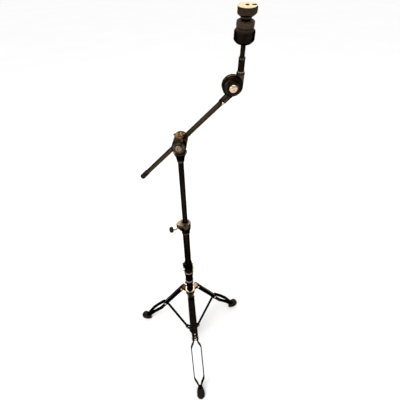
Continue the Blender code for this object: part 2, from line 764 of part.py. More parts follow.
rod_line = boom_line * math.cos(ROD_BEND) + tilt_side * math.sin(ROD_BEND)
rod_right = boom_line * math.sin(ROD_BEND) - tilt_side * math.cos(ROD_BEND)
mast = frame("rod_axis", tilt_middle, rod_right, rod_line)
rear_drum = [
    (0.0, 0.3),
    (TILTER_RADIUS - 1.2, 0.3),
    (TILTER_RADIUS, 1.5),
    (TILTER_RADIUS, TILTER_HALF - 2.4),
    (TILTER_RADIUS - 2.4, TILTER_HALF),
    (0.0, TILTER_HALF),
]
upper_half = put("tilter_upper", turned(rear_drum, 32), mast, CASTING, BACKWARD)
arm = turned([(0.0, 0.0), (9.6, 0.0), (9.6, 28.0), (8.8, 31.0), (0.0, 31.0)], 28, ROD_SIDE)
arm_body = put("tilter_arm", arm, mast, None)
cut(arm_body, put("arm_relief", box(-10.0, 40.0, -20.0, 0.9, -10.0, 26.0), mast, None))
join(upper_half, arm_body)
cut(upper_half, put("upper_drum_bore", rod(4.4, -30.0, 30.0, 20), mast, None, BACKWARD))
cut(upper_half, put("arm_bore", rod(THREAD_RADIUS + GAP, 27.0, 40.0, 20, ROD_SIDE), mast, None))
wing = frame("tilter_wing_axis", tilt_middle, boom_line, -tilt_axis)
tilter_wing = wing_screw("tilter_wing_nut", wing, 10.4, 8.0, 21.0, 6.0, 10.4)
cut(tilter_wing, put("wing_nut_bore", rod(4.4, 5.0, 20.0, 20), wing, None))

# ---------------------------------------------------------------- cymbal rod and seat

ring_profile = [(7.7, 31.4), (8.1, 32.0), (8.1, 33.6), (7.5, 34.2), (4.3, 34.2), (4.3, 31.4)]
put("rod_ring", turned(ring_profile, 24, ROD_SIDE), mast, CHROME)
sleeve_profile = [
    (7.3, 34.6),
    (7.2, 60.0),
    (7.6, 61.0),
    (7.6, 64.0),
    (4.3, 64.0),
    (4.3, 34.6),
]
put("rod_sleeve", turned(sleeve_profile, 24, ROD_SIDE), mast, BLACK_NICKEL)
rod_profile = [
    (0.0, 27.4),
    (4.0, 27.4),
    (4.0, 64.4),
    (ROD_RADIUS, 64.4),
    (ROD_RADIUS, 96.0),
    (4.0, 96.0),
    (4.0, 157.0),
    (3.2, 158.0),
    (0.0, 158.0),
]
put("cymbal_rod", turned(rod_profile, 24, ROD_SIDE), mast, BLACK_NICKEL)
cup_profile = [
    (8.0, 93.0),
    (15.5, 93.0),
    (21.0, 99.0),
    (21.5, 100.0),
    (21.5, 115.8),
    (20.6, 117.0),
    (19.0, 117.0),
    (19.0, 110.6),
    (4.3, 110.6),
    (4.3, 97.0),
    (5.6, 97.0),
    (5.6, 93.0),
]
put("seat_cup", turned(cup_profile, 28, ROD_SIDE), mast, PLATED)
for name, low, high in (("lower_felt", 111.0, 122.8), ("upper_felt", 123.1, 134.9)):
    felt_profile = [
        (17.3, low),
        (18.5, low + 1.4),
        (18.5, high - 1.4),
        (17.3, high),
        (4.5, high),
        (4.5, low),
    ]
    put(name, turned(felt_profile, 24, ROD_SIDE), mast, FELT)

nut_levels = (
    (135.3, 10.0, 0.0),
    (136.5, 11.0, 0.0),
    (142.0, 12.0, 0.0),
    (144.0, 15.0, 0.3),
    (149.0, 20.6, 1.0),
    (158.0, 21.0, 1.0),
    (160.4, 19.8, 1.0),
    (161.0, 18.6, 0.9),
)
nut_rings = []
for height, size, hexed in nut_levels:
    outline = []
    for i in range(36):
        t = 2.0 * math.pi * i / 36
        away = abs((t + math.pi / 6.0) % (math.pi / 3.0) - math.pi / 6.0)
        flat = 0.93 / math.cos(away)
        radius = size * (1.0 - hexed + hexed * min(1.0, flat))
        outline.append((ROD_SIDE + radius * math.cos(t), radius * math.sin(t), height))
    nut_rings.append(outline)
top_nut = put("top_nut", loft(nut_rings), mast, PLATED)
cut(top_nut, put("top_nut_bore", rod(4.35, 130.0, 170.0, 24, ROD_SIDE), mast, None))
notch = box(ROD_SIDE + 8.0, ROD_SIDE + 30.0, -3.0, 3.0, 157.0, 170.0)
cut(top_nut, put("top_nut_notch", notch, mast, None))
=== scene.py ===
import json
import math

import bpy
from mathutils import Matrix, Vector


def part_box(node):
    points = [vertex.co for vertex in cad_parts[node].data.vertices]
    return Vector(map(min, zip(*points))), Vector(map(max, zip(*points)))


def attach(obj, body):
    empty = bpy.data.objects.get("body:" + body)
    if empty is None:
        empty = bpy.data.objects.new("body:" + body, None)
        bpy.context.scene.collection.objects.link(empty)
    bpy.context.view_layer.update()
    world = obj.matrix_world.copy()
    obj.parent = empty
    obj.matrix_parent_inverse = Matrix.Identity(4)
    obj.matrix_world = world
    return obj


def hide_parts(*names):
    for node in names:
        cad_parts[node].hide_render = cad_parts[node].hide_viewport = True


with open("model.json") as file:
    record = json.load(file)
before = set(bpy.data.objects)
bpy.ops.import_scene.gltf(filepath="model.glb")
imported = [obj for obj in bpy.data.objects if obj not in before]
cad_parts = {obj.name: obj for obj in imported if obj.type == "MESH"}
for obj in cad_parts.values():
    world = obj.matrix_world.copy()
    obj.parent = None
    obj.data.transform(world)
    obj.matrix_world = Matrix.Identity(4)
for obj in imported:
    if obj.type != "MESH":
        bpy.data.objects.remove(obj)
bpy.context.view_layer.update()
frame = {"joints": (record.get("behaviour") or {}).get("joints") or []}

# ---- Base tube ------------------------------------------------------------------
# The lowest and widest tube of the pole: drawn steel with a thin wall, its ends
# turned clean, plated in smoky black nickel like every tube above it.

MM = 0.001
joints = {joint["name"]: joint for joint in frame["joints"]}
pole_foot = Vector(joints["middle_turn"]["pos_m"])
pole_foot.z = 0.0
POLE = Matrix.Translation(pole_foot)


def put_all_down():
    """Leaves edit mode and deselects everything."""
    if bpy.context.mode != "OBJECT":
        bpy.ops.object.mode_set(mode="OBJECT")
    bpy.ops.object.select_all(action="DESELECT")


def hold(piece):
    """Makes one piece the only thing picked up."""
    put_all_down()
    piece.select_set(True)
    bpy.context.view_layer.objects.active = piece


def drawn(name, points):
    """A chain of edges drawn point by point, in millimetres."""
    put_all_down()
    bpy.ops.mesh.primitive_plane_add(size=MM)
    piece = bpy.context.object
    piece.name = name
    bpy.ops.object.mode_set(mode="EDIT")
    bpy.ops.mesh.merge(type="CENTER")
    bpy.ops.transform.translate(value=Vector(points[0]) * MM)
    for here, there in zip(points, points[1:]):
        step = (Vector(there) - Vector(here)) * MM
        bpy.ops.mesh.extrude_region_move(TRANSFORM_OT_translate={"value": step})
    bpy.ops.mesh.select_all(action="SELECT")
    return piece


def close_up():
    """Turns every face of the piece being drawn outward and leaves edit mode."""
    bpy.ops.mesh.select_all(action="SELECT")
    bpy.ops.mesh.normals_make_consistent(inside=False)
    bpy.ops.object.mode_set(mode="OBJECT")


def spun(name, outline, steps=72):
    """An outline of (radius, height) points drawn and then spun once about Z."""
    piece = drawn(name, [(radius, 0.0, height) for radius, height in outline])
    bpy.ops.mesh.spin(steps=steps, angle=2.0 * math.pi, center=(0, 0, 0), axis=(0, 0, 1))
    bpy.ops.mesh.select_all(action="SELECT")
    bpy.ops.mesh.remove_doubles(threshold=0.01 * MM)
    close_up()
    return piece


def pipe(name, outer, inner, low, high, lip=0.35):
    """A tube whose four rims are turned down by a small lip."""
    return spun(
        name,
        [
            (outer, low + lip),
            (outer, high - lip),
            (outer - lip, high),
            (inner + lip * 0.5, high),
            (inner, high - lip),
            (inner, low + lip),
            (inner + lip * 0.5, low),
            (outer - lip, low),
            (outer, low + lip),
        ],
    )


def use(piece, kind, **settings):
    """Adds a modifier, sets it and applies it."""
    hold(piece)
    modifier = piece.modifiers.new(kind.title(), kind)
    for key, value in settings.items():
        setattr(modifier, key, value)
    bpy.ops.object.modifier_apply(modifier=modifier.name)
    return piece


def soften(piece, width, segments=2, angle=32.0):
    """Breaks every sharp edge by a small round."""
    return use(
        piece,
        "BEVEL",
        width=width * MM,
        segments=segments,
        limit_method="ANGLE",
        angle_limit=math.radians(angle),
        harden_normals=False,
    )


def settle(piece, bench):
    """Moves a piece from its own bench to its place, and leaves the move in its mesh."""
    hold(piece)
    piece.matrix_world = bench @ piece.matrix_world
    bpy.ops.object.transform_apply(location=True, rotation=True, scale=True)
    return piece


def fit(piece, finish, body, slot, *nodes):
    """Gives a piece its finish and hangs it on the body it moves with."""
    hold(piece)
    piece.name = piece.name.replace(" ", "-")
    piece.data.materials.clear()
    piece.data.materials.append(finish)
    bpy.ops.object.shade_smooth_by_angle(angle=math.radians(32.0))
    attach(piece, body)
    if nodes:
        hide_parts(*nodes)
    return piece


class Wire:
    """One output of a shader node, which takes part in sums."""

    def __init__(self, finish, socket):
        self.finish = finish
        self.socket = socket

    def sum_with(self, operation, first, second):
        return self.finish.node("ShaderNodeMath", {"operation": operation}, {0: first, 1: second})

    def __add__(self, other):
        return self.sum_with("ADD", self, other)

    def __mul__(self, other):
        return self.sum_with("MULTIPLY", self, other)

    def __rmul__(self, other):
        return self.sum_with("MULTIPLY", other, self)


def socket_name(key):
    return key.replace("_", " ").title().replace("Ior", "IOR")


class Finish:
    """One material as it is mixed: a Principled shader and the nodes that feed it."""

    def __init__(self, name, **fixed):
        self.material = bpy.data.materials.new(name)
        self.material.use_nodes = True
        self.tree = self.material.node_tree
        self.shader = self.tree.nodes["Principled BSDF"]
        for key, value in fixed.items():
            self.feed(self.shader.inputs[socket_name(key)], value)

    def feed(self, socket, value):
        if isinstance(value, Wire):
            self.tree.links.new(value.socket, socket)
        elif socket.type == "RGBA" and len(value) == 3:
            socket.default_value = (*value, 1.0)
        else:
            socket.default_value = value

    def node(self, kind, settings=None, sockets=None, out=0):
        made = self.tree.nodes.new(kind)
        for key, value in (settings or {}).items():
            setattr(made, key, value)
        for key, value in (sockets or {}).items():
            self.feed(made.inputs[key], value)
        return Wire(self, made.outputs[out])

    def place(self, bench=None, stretch=1.0):
        """Where a point is on its bench, with the pattern drawn out along the bench's Z."""
        where = self.node("ShaderNodeTexCoord", out=3)
        if bench is None:
            bench = Matrix.Identity(4)
        return self.node(
            "ShaderNodeMapping",
            {"vector_type": "TEXTURE"},
            {
                "Vector": where,
                "Location": bench.to_translation(),
                "Rotation": Vector(bench.to_euler()),
                "Scale": (1.0, 1.0, stretch),
            },
        )

    def noise(self, where, scale, detail=3.0, roughness=0.55):
        return self.node(
            "ShaderNodeTexNoise",
            sockets={"Vector": where, "Scale": scale, "Detail": detail, "Roughness": roughness},
        )

    def between(self, value, low, high, to_low=0.0, to_high=1.0):
        return self.node(
            "ShaderNodeMapRange",
            {"clamp": True},
            {"Value": value, 1: low, 2: high, 3: to_low, 4: to_high},
        )

    def blend(self, mask, first, second):
        return self.node(
            "ShaderNodeMix", {"data_type": "RGBA"}, {0: mask, 6: first, 7: second}, out=2
        )

    def worn_edges(self, low=0.52, high=0.60):
        """Near 1 along outer edges, where hands and cases rub the plating."""
        return self.between(self.node("ShaderNodeNewGeometry", out=7), low, high)

    def facing_up(self, low=0.55, high=0.98):
        normal = self.node("ShaderNodeNewGeometry", out=1)
        return self.between(self.node("ShaderNodeSeparateXYZ", sockets={0: normal}, out=2), low, high)

    def bumps(self, height, strength, distance):
        bump = self.node(
            "ShaderNodeBump",
            sockets={"Height": height, "Strength": strength, "Distance": distance * MM},
        )
        self.feed(self.shader.inputs["Normal"], bump)

    def set(self, **inputs):
        for key, value in inputs.items():
            self.feed(self.shader.inputs[socket_name(key)], value)
        return self.material


SMOKE_DARK = (0.0055, 0.0042, 0.0034)
SMOKE_BROWN = (0.018, 0.012, 0.008)
RUBBED = (0.13, 0.10, 0.073)


def tube_plating(name, bench, dark=SMOKE_DARK, brown=SMOKE_BROWN):
    """Polished black nickel on drawn tube: draw lines along it, smudges, a little dust."""
    finish = Finish(name, metallic=1.0, specular_tint=(0.08, 0.07, 0.06))
    cloud = finish.noise(finish.place(bench, 4.0), 28.0, 4.0)
    draw_lines = finish.noise(finish.place(bench, 90.0), 900.0, 3.0)
    smudge = finish.noise(finish.place(bench), 60.0, 5.0, 0.65)
    speck = finish.between(finish.noise(finish.place(bench), 620.0, 2.0), 0.70, 0.78)
    tone = finish.blend(finish.between(cloud, 0.35, 0.70), dark, brown)
    tone = finish.blend(speck * 0.30, tone, (0.12, 0.10, 0.08))
    tone = finish.blend(finish.worn_edges(0.62, 0.75) * 0.5, tone, RUBBED)
    rough = finish.between(smudge, 0.35, 0.75, 0.16, 0.34) + draw_lines * 0.07 + speck * 0.2
    finish.bumps(draw_lines * 0.6 + smudge * 0.25, 0.10, 0.05)
    return finish.set(base_color=tone, roughness=rough)


pole_plating = tube_plating("black nickel tube", POLE)


def levels(node):
    """The lowest and the highest level of one part, in millimetres."""
    low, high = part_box(node)
    return low.z / MM, high.z / MM


def pole_tube(name, node, body, wall):
    """One tube of the pole, as long and as wide as its part."""
    low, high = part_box(node)
    radius = (high.x - low.x) / 2.0 / MM
    tube = pipe(name, radius, radius - wall, *levels(node))
    settle(tube, POLE)
    fit(tube, pole_plating, body, "black_nickel", node)


pole_tube("base tube", "base_tube", "base", 1.2)

# ---- Tube end plug --------------------------------------------------------------
# A push-in stopper of black rubber that closes the base tube's lower end. It has a
# rounded brim the width of the tube and a dimple where the mould's pin stood.


def rubber(name, bench=None):
    """Matte moulded rubber, greyed by floor dust on top and along its edges."""
    finish = Finish(name, metallic=0.0, specular_ior_level=0.04)
    grain = finish.noise(finish.place(bench), 1800.0, 3.0, 0.7)
    patches = finish.noise(finish.place(bench), 75.0, 5.0, 0.6)
    dust = finish.facing_up(0.2, 1.0) * finish.between(patches, 0.42, 0.72)
    tone = finish.blend(patches, (0.004, 0.003, 0.003), (0.013, 0.008, 0.006))
    tone = finish.blend(dust * 0.30, tone, (0.042, 0.026, 0.019))
    tone = finish.blend(finish.worn_edges(0.51, 0.58) * 0.25, tone, (0.07, 0.055, 0.045))
    rough = finish.between(patches, 0.3, 0.8, 0.55, 0.80) + dust * 0.12
    finish.bumps(grain * 0.5 + patches * 0.6, 0.28, 0.12)
    return finish.set(base_color=tone, roughness=rough)


pole_rubber = rubber("plug rubber", POLE)
plug_bottom = levels("tube_end_plug")[0]
base_low = levels("base_tube")[0]
plug = spun(
    "tube end plug",
    [
        (0.0, plug_bottom + 1.2),
        (3.0, plug_bottom + 1.0),
        (3.8, plug_bottom),
        (10.2, plug_bottom),
        (11.9, plug_bottom + 0.6),
        (12.7, plug_bottom + 2.2),
        (12.7, base_low - 0.3),
        (11.2, base_low - 0.3),
        (11.2, base_low + 12.0),
        (0.0, base_low + 12.0),
    ],
)
settle(plug, POLE)
fit(plug, pole_rubber, "base", "rubber", "tube_end_plug")

# ---- Lower collar ---------------------------------------------------------------
# A die-cast ring fixed near the base tube's foot. Three pairs of lugs hold the flat
# braces on riveted pins, and a small hole is bored for the grub screw that locks
# the ring to the tube.

LEG_TURNS = (-90.0, 30.0, 150.0)
LOWER_RADIUS = 28.5
LOWER_HEIGHT = 54.4
lie_across = Matrix.Rotation(math.radians(90.0), 4, "X")


def pick(piece, wanted):
    """Enters edit mode with only the wanted points selected, told by their place."""
    hold(piece)
    bpy.ops.object.mode_set(mode="EDIT")
    bpy.ops.mesh.select_mode(type="VERT")
    bpy.ops.mesh.select_all(action="DESELECT")
    bpy.ops.object.mode_set(mode="OBJECT")
    for point in piece.data.vertices:
        point.select = wanted(point.co / MM)
    bpy.ops.object.mode_set(mode="EDIT")


def cast_bar(name, radius, thick, reach, sides=40):
    """A plate with round ends: a cylinder parted in the middle and drawn out along X."""
    put_all_down()
    bpy.ops.mesh.primitive_cylinder_add(vertices=sides, radius=radius * MM, depth=thick * MM)
    piece = bpy.context.object
    piece.name = name
    pick(piece, lambda point: point.x > 0.01)
    bpy.ops.transform.translate(value=(reach * MM, 0, 0))
    bpy.ops.object.mode_set(mode="OBJECT")
    return piece


def round_bar(name, radius, low, high, sides=40):
    put_all_down()
    bpy.ops.mesh.primitive_cylinder_add(
        vertices=sides,
        radius=radius * MM,
        depth=(high - low) * MM,
        location=(0, 0, (low + high) / 2.0 * MM),
    )
    piece = bpy.context.object
    piece.name = name
    hold(piece)
    bpy.ops.object.transform_apply(location=True, rotation=True, scale=True)
    return piece


def block(name, low, high):
    """A cube stretched between two corners."""
    put_all_down()
    size = Vector(high) - Vector(low)
    middle = (Vector(high) + Vector(low)) / 2.0
    bpy.ops.mesh.primitive_cube_add(size=MM, location=middle * MM, scale=size)
    piece = bpy.context.object
    piece.name = name
    bpy.ops.object.transform_apply(location=True, rotation=True, scale=True)
    return piece


def worked(piece, tool, operation):
    use(piece, "BOOLEAN", operation=operation, object=tool, solver="EXACT")
    bpy.data.objects.remove(tool)
    return piece


def join_to(piece, *tools):
    for tool in tools:
        worked(piece, tool, "UNION")


def cut_from(piece, *tools):
    for tool in tools:
        worked(piece, tool, "DIFFERENCE")


def shift(x, y, z):
    return Matrix.Translation(Vector((x, y, z)) * MM)


def turned(axis, degrees):
    return Matrix.Rotation(math.radians(degrees), 4, axis)


def cast_plating(name, bench=None):
    """Black nickel over die-cast metal: faint orange peel, softer shine, rubbed edges."""
    finish = Finish(name, metallic=1.0, specular_tint=(0.17, 0.13, 0.10))
    cloud = finish.noise(finish.place(bench), 45.0, 4.0)
    peel = finish.noise(finish.place(bench), 420.0, 2.0)
    smudge = finish.noise(finish.place(bench), 130.0, 5.0, 0.7)
    tone = finish.blend(finish.between(cloud, 0.42, 0.80), SMOKE_DARK, SMOKE_BROWN)
    worn = finish.worn_edges(0.58, 0.72) * finish.between(smudge, 0.3, 0.6)
    tone = finish.blend(worn * 0.6, tone, RUBBED)
    rough = finish.between(smudge, 0.35, 0.75, 0.17, 0.36) + peel * 0.05
    finish.bumps(peel * 0.7 + smudge * 0.3, 0.16, 0.10)
    return finish.set(base_color=tone, roughness=rough)


casting = cast_plating("black nickel casting")
collar_low, collar_high = levels("lower_collar")
lower_collar = spun(
    "lower collar",
    [
        (16.2, collar_low),
        (17.0, collar_low + 0.8),
        (17.0, collar_high - 0.8),
        (16.2, collar_high),
        (12.9, collar_high),
        (12.9, collar_low),
        (16.2, collar_low),
    ],
)
for azimuth in LEG_TURNS:
    for side in (-1, 1):
        lug = cast_bar("lug", 5.6, 4.4, LOWER_RADIUS - 15.0)
        settle(lug, turned("Z", azimuth) @ shift(15.0, side * 5.6, LOWER_HEIGHT) @ lie_across)
        join_to(lower_collar, lug)
cut_from(lower_collar, round_bar("bore", 12.95, 30.0, 80.0, 72))
grub_hole = round_bar("grub screw hole", 2.2, 15.5, 22.0, 24)
settle(grub_hole, shift(0.0, 0.0, LOWER_HEIGHT) @ turned("Z", 90.0) @ turned("Y", 90.0))
cut_from(lower_collar, grub_hole)
soften(lower_collar, 0.35)
settle(lower_collar, POLE)
fit(lower_collar, casting, "base", "casting", "lower_collar")

# ---- Brace pins -----------------------------------------------------------------
# Bright plated steel rivets, one through each pair of lugs. Both ends are peened to
# a shallow dome over the lug's outer faces.


def bright_plating(name, clear, hazed, rim, bench=None):
    """Polished plating with a warm cast, hazed by finger marks and darker at its rims."""
    finish = Finish(name, metallic=1.0, specular_tint=rim)
    haze = finish.noise(finish.place(bench), 160.0, 5.0, 0.7)
    turning = finish.noise(finish.place(bench, 0.08), 900.0, 2.0)
    tone = finish.blend(finish.between(haze, 0.35, 0.75), clear, hazed)
    rough = 0.05 * turning + finish.between(haze, 0.35, 0.75, 0.08, 0.28)
    finish.bumps(turning * 0.5 + haze * 0.3, 0.08, 0.05)
    return finish.set(base_color=tone, roughness=rough)


bright = bright_plating(
    "bright plating", (0.80, 0.64, 0.47), (0.40, 0.29, 0.20), (0.45, 0.37, 0.28)
)


def dome_rivet(name, shank, head, height, half_length):
    """A pin with a peened dome on each end, lying along its own Z."""
    half = [
        (shank, half_length),
        (head, half_length),
        (head, half_length + 0.18 * height),
        (head * 0.90, half_length + 0.55 * height),
        (head * 0.62, half_length + 0.86 * height),
        (head * 0.30, half_length + 0.98 * height),
        (0.0, half_length + height),
    ]
    other = [(radius, -level) for radius, level in reversed(half)]
    return spun(name, other + half, 40)


for number, azimuth in enumerate(LEG_TURNS, 1):
    pin = dome_rivet(f"brace pin {number}", 2.2, 3.9, 1.8, 8.1)
    settle(pin, POLE @ turned("Z", azimuth) @ shift(LOWER_RADIUS, 0.0, LOWER_HEIGHT) @ lie_across)
    fit(pin, bright, "base", "bright_chrome", f"leg_{number}_brace_pin")

# ---- Leg hub --------------------------------------------------------------------
# The sliding collar that carries the tops of the legs: a casting with three thick
# ears, a smoky pressed ring on its upper rim, and a boss for its screw at the back.

HUB_RADIUS = 32.0
HUB_HEIGHT = 366.0
hub_low, hub_high = levels("hub_collar")
hub = spun(
    "leg hub",
    [
        (16.4, hub_low),
        (17.4, hub_low + 1.0),
        (17.4, hub_low + 3.0),
        (16.9, hub_low + 3.6),
        (16.9, hub_high - 6.4),
        (17.4, hub_high - 5.6),
        (17.4, hub_high - 4.0),
        (12.9, hub_high - 4.0),
        (12.9, hub_low),
        (16.4, hub_low),
    ],
)
for azimuth in LEG_TURNS:
    ear = cast_bar("ear", 6.4, 19.0, HUB_RADIUS - 15.5)
    settle(ear, turned("Z", azimuth) @ shift(15.5, 0.0, HUB_HEIGHT) @ lie_across)
    waist = cast_bar("ear waist", 2.6, 30.0, 6.0)
    settle(waist, turned("Z", azimuth) @ shift(20.0, 0.0, HUB_HEIGHT - 8.0) @ lie_across)
    cut_from(ear, waist)
    join_to(hub, ear)
boss = round_bar("hub boss", 6.5, 14.0, 24.0)
settle(boss, shift(0.0, 0.0, HUB_HEIGHT - 5.0) @ turned("X", -90.0))
join_to(hub, boss)
cut_from(hub, round_bar("bore", 12.95, hub_low - 10.0, hub_high + 10.0, 72))
soften(hub, 0.4)
settle(hub, POLE)
fit(hub, casting, "hub", "casting", "hub_collar")

hub_ring = spun(
    "hub rim ring",
    [
        (13.0, hub_high - 3.7),
        (18.0, hub_high - 3.7),
        (18.6, hub_high - 3.1),
        (18.6, hub_high - 1.6),
        (17.9, hub_high - 0.5),
        (16.6, hub_high),
        (13.6, hub_high),
        (13.0, hub_high - 0.6),
        (13.0, hub_high - 3.7),
    ],
)
settle(hub_ring, POLE)
ring_plating = bright_plating(
    "ring plating", (0.30, 0.22, 0.15), (0.11, 0.08, 0.055), (0.08, 0.07, 0.06)
)
fit(hub_ring, ring_plating, "hub", "bright_chrome")

# ---- Wing screws and wing nuts --------------------------------------------------
# Die-cast and plated. Each has a stepped round boss with two upswept wings rounded
# for the thumb; the screws keep a rolled thread below the boss.


def bench_of(origin, z_axis, x_hint):
    z = Vector(z_axis).normalized()
    y = z.cross(Vector(x_hint)).normalized()
    turned_to = Matrix((y.cross(z), y, z)).transposed().to_4x4()
    return Matrix.Translation(origin) @ turned_to


def thread(radius, low, high, pitch=1.25, depth=0.45):
    """Outline points of a rolled thread from low to high."""
    points = []
    count = int((high - low) / pitch)
    for turn in range(count):
        level = low + turn * pitch
        points += [(radius - depth, level), (radius, level + pitch * 0.5)]
    return points + [(radius - depth, high)]


def winged(name, boss, span, base, shank=None):
    """Boss and wings on Z, with a threaded shank (radius, start) or a through bore."""
    outline = [
        (boss, base),
        (boss, base + 2.4),
        (boss * 0.86, base + 3.2),
        (boss * 0.80, base + 8.6),
        (boss * 0.66, base + 11.2),
        (boss * 0.52, base + 12.0),
    ]
    if shank:
        radius, start = shank
        outline = [(0.0, start)] + thread(radius, start, base) + outline + [(0.0, base + 12.0)]
    else:
        outline = [(4.4, base)] + outline + [(4.4, base + 12.0), (4.4, base)]
    body = spun(name, outline, 48)
    for side in (0.0, 180.0):
        wing = cast_bar("wing", 4.4, 4.6, span - 4.6 - boss * 0.55)
        pick(wing, lambda point: point.x < 2.0)
        bpy.ops.transform.resize(value=(1.0, 1.0, 1.15))
        bpy.ops.object.mode_set(mode="OBJECT")
        soften(wing, 1.3, 3)
        sweep = shift(boss * 0.55, 0.0, base + 8.6) @ turned("Y", -13.0) @ lie_across
        settle(wing, turned("Z", side) @ sweep)
        join_to(body, wing)
    return soften(body, 0.3)


hub_screw = winged("hub wing screw", 6.0, 18.0, 27.0, (3.0, 13.4))
settle(hub_screw, bench_of(Vector(joints["hub_screw_turn"]["pos_m"]), (0, 1, 0), (1, 0, 0)))
fit(hub_screw, casting, "hub_screw", "casting", "hub_wing_screw")

base_screw = winged("base clamp wing screw", 6.5, 20.0, 26.0, (3.0, 13.4))
settle(base_screw, bench_of(Vector(joints["base_screw_turn"]["pos_m"]), (0, 1, 0), (1, 0, 0)))
fit(base_screw, casting, "base_screw", "casting", "base_wing_screw")

# ---- Legs -----------------------------------------------------------------------
# Each upper leg is an inverted steel channel with a rib down its back and a window
# near the knee, over a riveted tongue and a stop pin. A hairpin of flat strip on
# edge is riveted inside, spreads into a long loop and closes in a rubber foot.

KNEE = (120.4, 207.3)
FOOT_RADIUS = 249.0
FOOT_MIDDLE = 15.0
LEG_WIDE = 24.0
LEG_DEEP = 14.0
LEG_WALL = 2.0
STRIP_THICK = 4.0
STRIP_DEEP = 13.5
LOOP_WIDE = 39.0
LOOP_TIP = 5.5
STRIP_STEP = 3.5
WINDOW_BACK = 26.0
RIVET_BORE = 2.8
FRONT = turned("Z", LEG_TURNS[0])

drop = HUB_HEIGHT - KNEE[1]
reach = KNEE[0] - HUB_RADIUS
leg_long = math.hypot(reach, drop)
lean = math.atan2(reach, drop)
hip = POLE @ FRONT @ shift(HUB_RADIUS, 0.0, HUB_HEIGHT)
leg_bench = hip @ turned("Y", 90.0 - math.degrees(lean))
foot_out = FOOT_RADIUS - HUB_RADIUS
foot_drop = FOOT_MIDDLE - HUB_HEIGHT
foot_along = foot_out * math.sin(lean) - foot_drop * math.cos(lean)
foot_rise = foot_out * math.cos(lean) + foot_drop * math.sin(lean)


def three_of(piece, finish, body, slot, node):
    """Turns two copies of the front leg's piece round the pole and fits all three."""
    name = piece.name
    for number in (1, 2, 3):
        twin = piece
        if number > 1:
            twin = piece.copy()
            twin.data = piece.data.copy()
            bpy.context.scene.collection.objects.link(twin)
            about = turned("Z", 120.0 * (number - 1))
            settle(twin, POLE @ about @ POLE.inverted())
        twin.name = f"{name} {number}"
        nodes = [node.format(number)] if node else []
        fit(twin, finish, body.format(number), slot, *nodes)


half = LEG_WIDE / 2.0
deep = LEG_DEEP / 2.0
inner = half - LEG_WALL
channel = cast_bar("leg channel", deep, LEG_WIDE, leg_long + 4.0, 48)
settle(channel, lie_across)
soften(channel, 0.9, 3)
cut_from(channel, block("hollow", (-20, -inner, -20), (leg_long + 20, inner, deep - LEG_WALL)))
cut_from(channel, block("mouth", (-20, -inner, 0), (13, inner, 20)))
window = cast_bar("window", 4.2, 20.0, 28.0)
settle(window, shift(leg_long - WINDOW_BACK, 0.0, 10.0))
cut_from(channel, window)
rib = cast_bar("rib", 3.6, 8.0, leg_long - 76.0)
soften(rib, 1.2, 3)
settle(rib, shift(26.0, 0.0, deep + 3.3))
cut_from(channel, rib)
for along in (0.0, leg_long):
    hole = round_bar("rivet hole", RIVET_BORE, -20.0, 20.0, 32)
    settle(hole, shift(along, 0.0, 0.0) @ lie_across)
    cut_from(channel, hole)
soften(channel, 0.25, 2)
settle(channel, leg_bench)


def ease(value):
    value = min(max(value, 0.0), 1.0)
    return value * value * (3.0 - 2.0 * value)


def strip_half(along):
    """Half the gap between the hairpin's two strands, from the knee to the foot."""
    narrow = inner - 0.3 - STRIP_THICK / 2.0
    wide = LOOP_WIDE / 2.0
    span = foot_along - leg_long
    opened = narrow + (wide - narrow) * ease((along - leg_long - 11.5) / (0.13 * span))
    closed = LOOP_TIP + (wide - LOOP_TIP) * ease((foot_along - 25.0 - along) / (0.19 * span))
    return min(opened, closed)


def strip_rise(along):
    """How far the hairpin stands above the channel's middle line: it bows outward."""
    t = max(along - leg_long - 11.0, 0.0) / (foot_along - leg_long - 11.0)
    return foot_rise * t + 5.0 * math.sin(math.pi * min(t, 1.0)) - 2.1


stations = range(int((foot_along - leg_long + 16.0) / STRIP_STEP))
steps = [leg_long - 20.0 + STRIP_STEP * count for count in stations]
strand = [(along, strip_half(along)) for along in steps]
bend = [math.pi / 2.0 * (1.0 - count / 6.0) for count in range(1, 12)]
turn_at = foot_along - 4.0
hairpin = [(turn_at + LOOP_TIP * math.cos(t), LOOP_TIP * math.sin(t)) for t in bend]
line = strand + hairpin + [(along, -side) for along, side in reversed(strand)]
strip = drawn("leg loop", [(x, y, strip_rise(x) - STRIP_DEEP / 2.0) for x, y in line])
bpy.ops.mesh.extrude_region_move(TRANSFORM_OT_translate={"value": (0, 0, STRIP_DEEP * MM)})
bpy.ops.object.mode_set(mode="OBJECT")
use(strip, "SOLIDIFY", thickness=STRIP_THICK * MM, offset=0.0, use_even_offset=True)
hold(strip)
bpy.ops.object.mode_set(mode="EDIT")
close_up()
hole = round_bar("rivet hole", RIVET_BORE, -20.0, 20.0, 32)
settle(hole, shift(leg_long, 0.0, 0.0) @ lie_across)
cut_from(strip, hole)
soften(strip, 0.7, 2, 50.0)
settle(strip, leg_bench)


def strip_plating(name):
    """Black nickel over rolled strip: long roll marks, scuffs and rubbed corners."""
    finish = Finish(name, metallic=1.0, specular_tint=(0.09, 0.07, 0.055))
    cloud = finish.noise(finish.place(), 38.0, 4.0)
    marks = finish.noise(finish.place(None, 12.0), 700.0, 3.0)
    scuff = finish.between(finish.noise(finish.place(None, 0.3), 260.0, 6.0, 0.75), 0.60, 0.70)
    tone = finish.blend(finish.between(cloud, 0.42, 0.80), SMOKE_DARK, SMOKE_BROWN)
    tone = finish.blend(finish.worn_edges(0.58, 0.72) * 0.6, tone, RUBBED)
    tone = finish.blend(scuff * 0.25, tone, (0.14, 0.11, 0.08))
    rough = finish.between(cloud, 0.3, 0.75, 0.20, 0.36) + marks * 0.06 + scuff * 0.15
    finish.bumps(marks * 0.5 + cloud * 0.4, 0.12, 0.06)
    return finish.set(base_color=tone, roughness=rough)


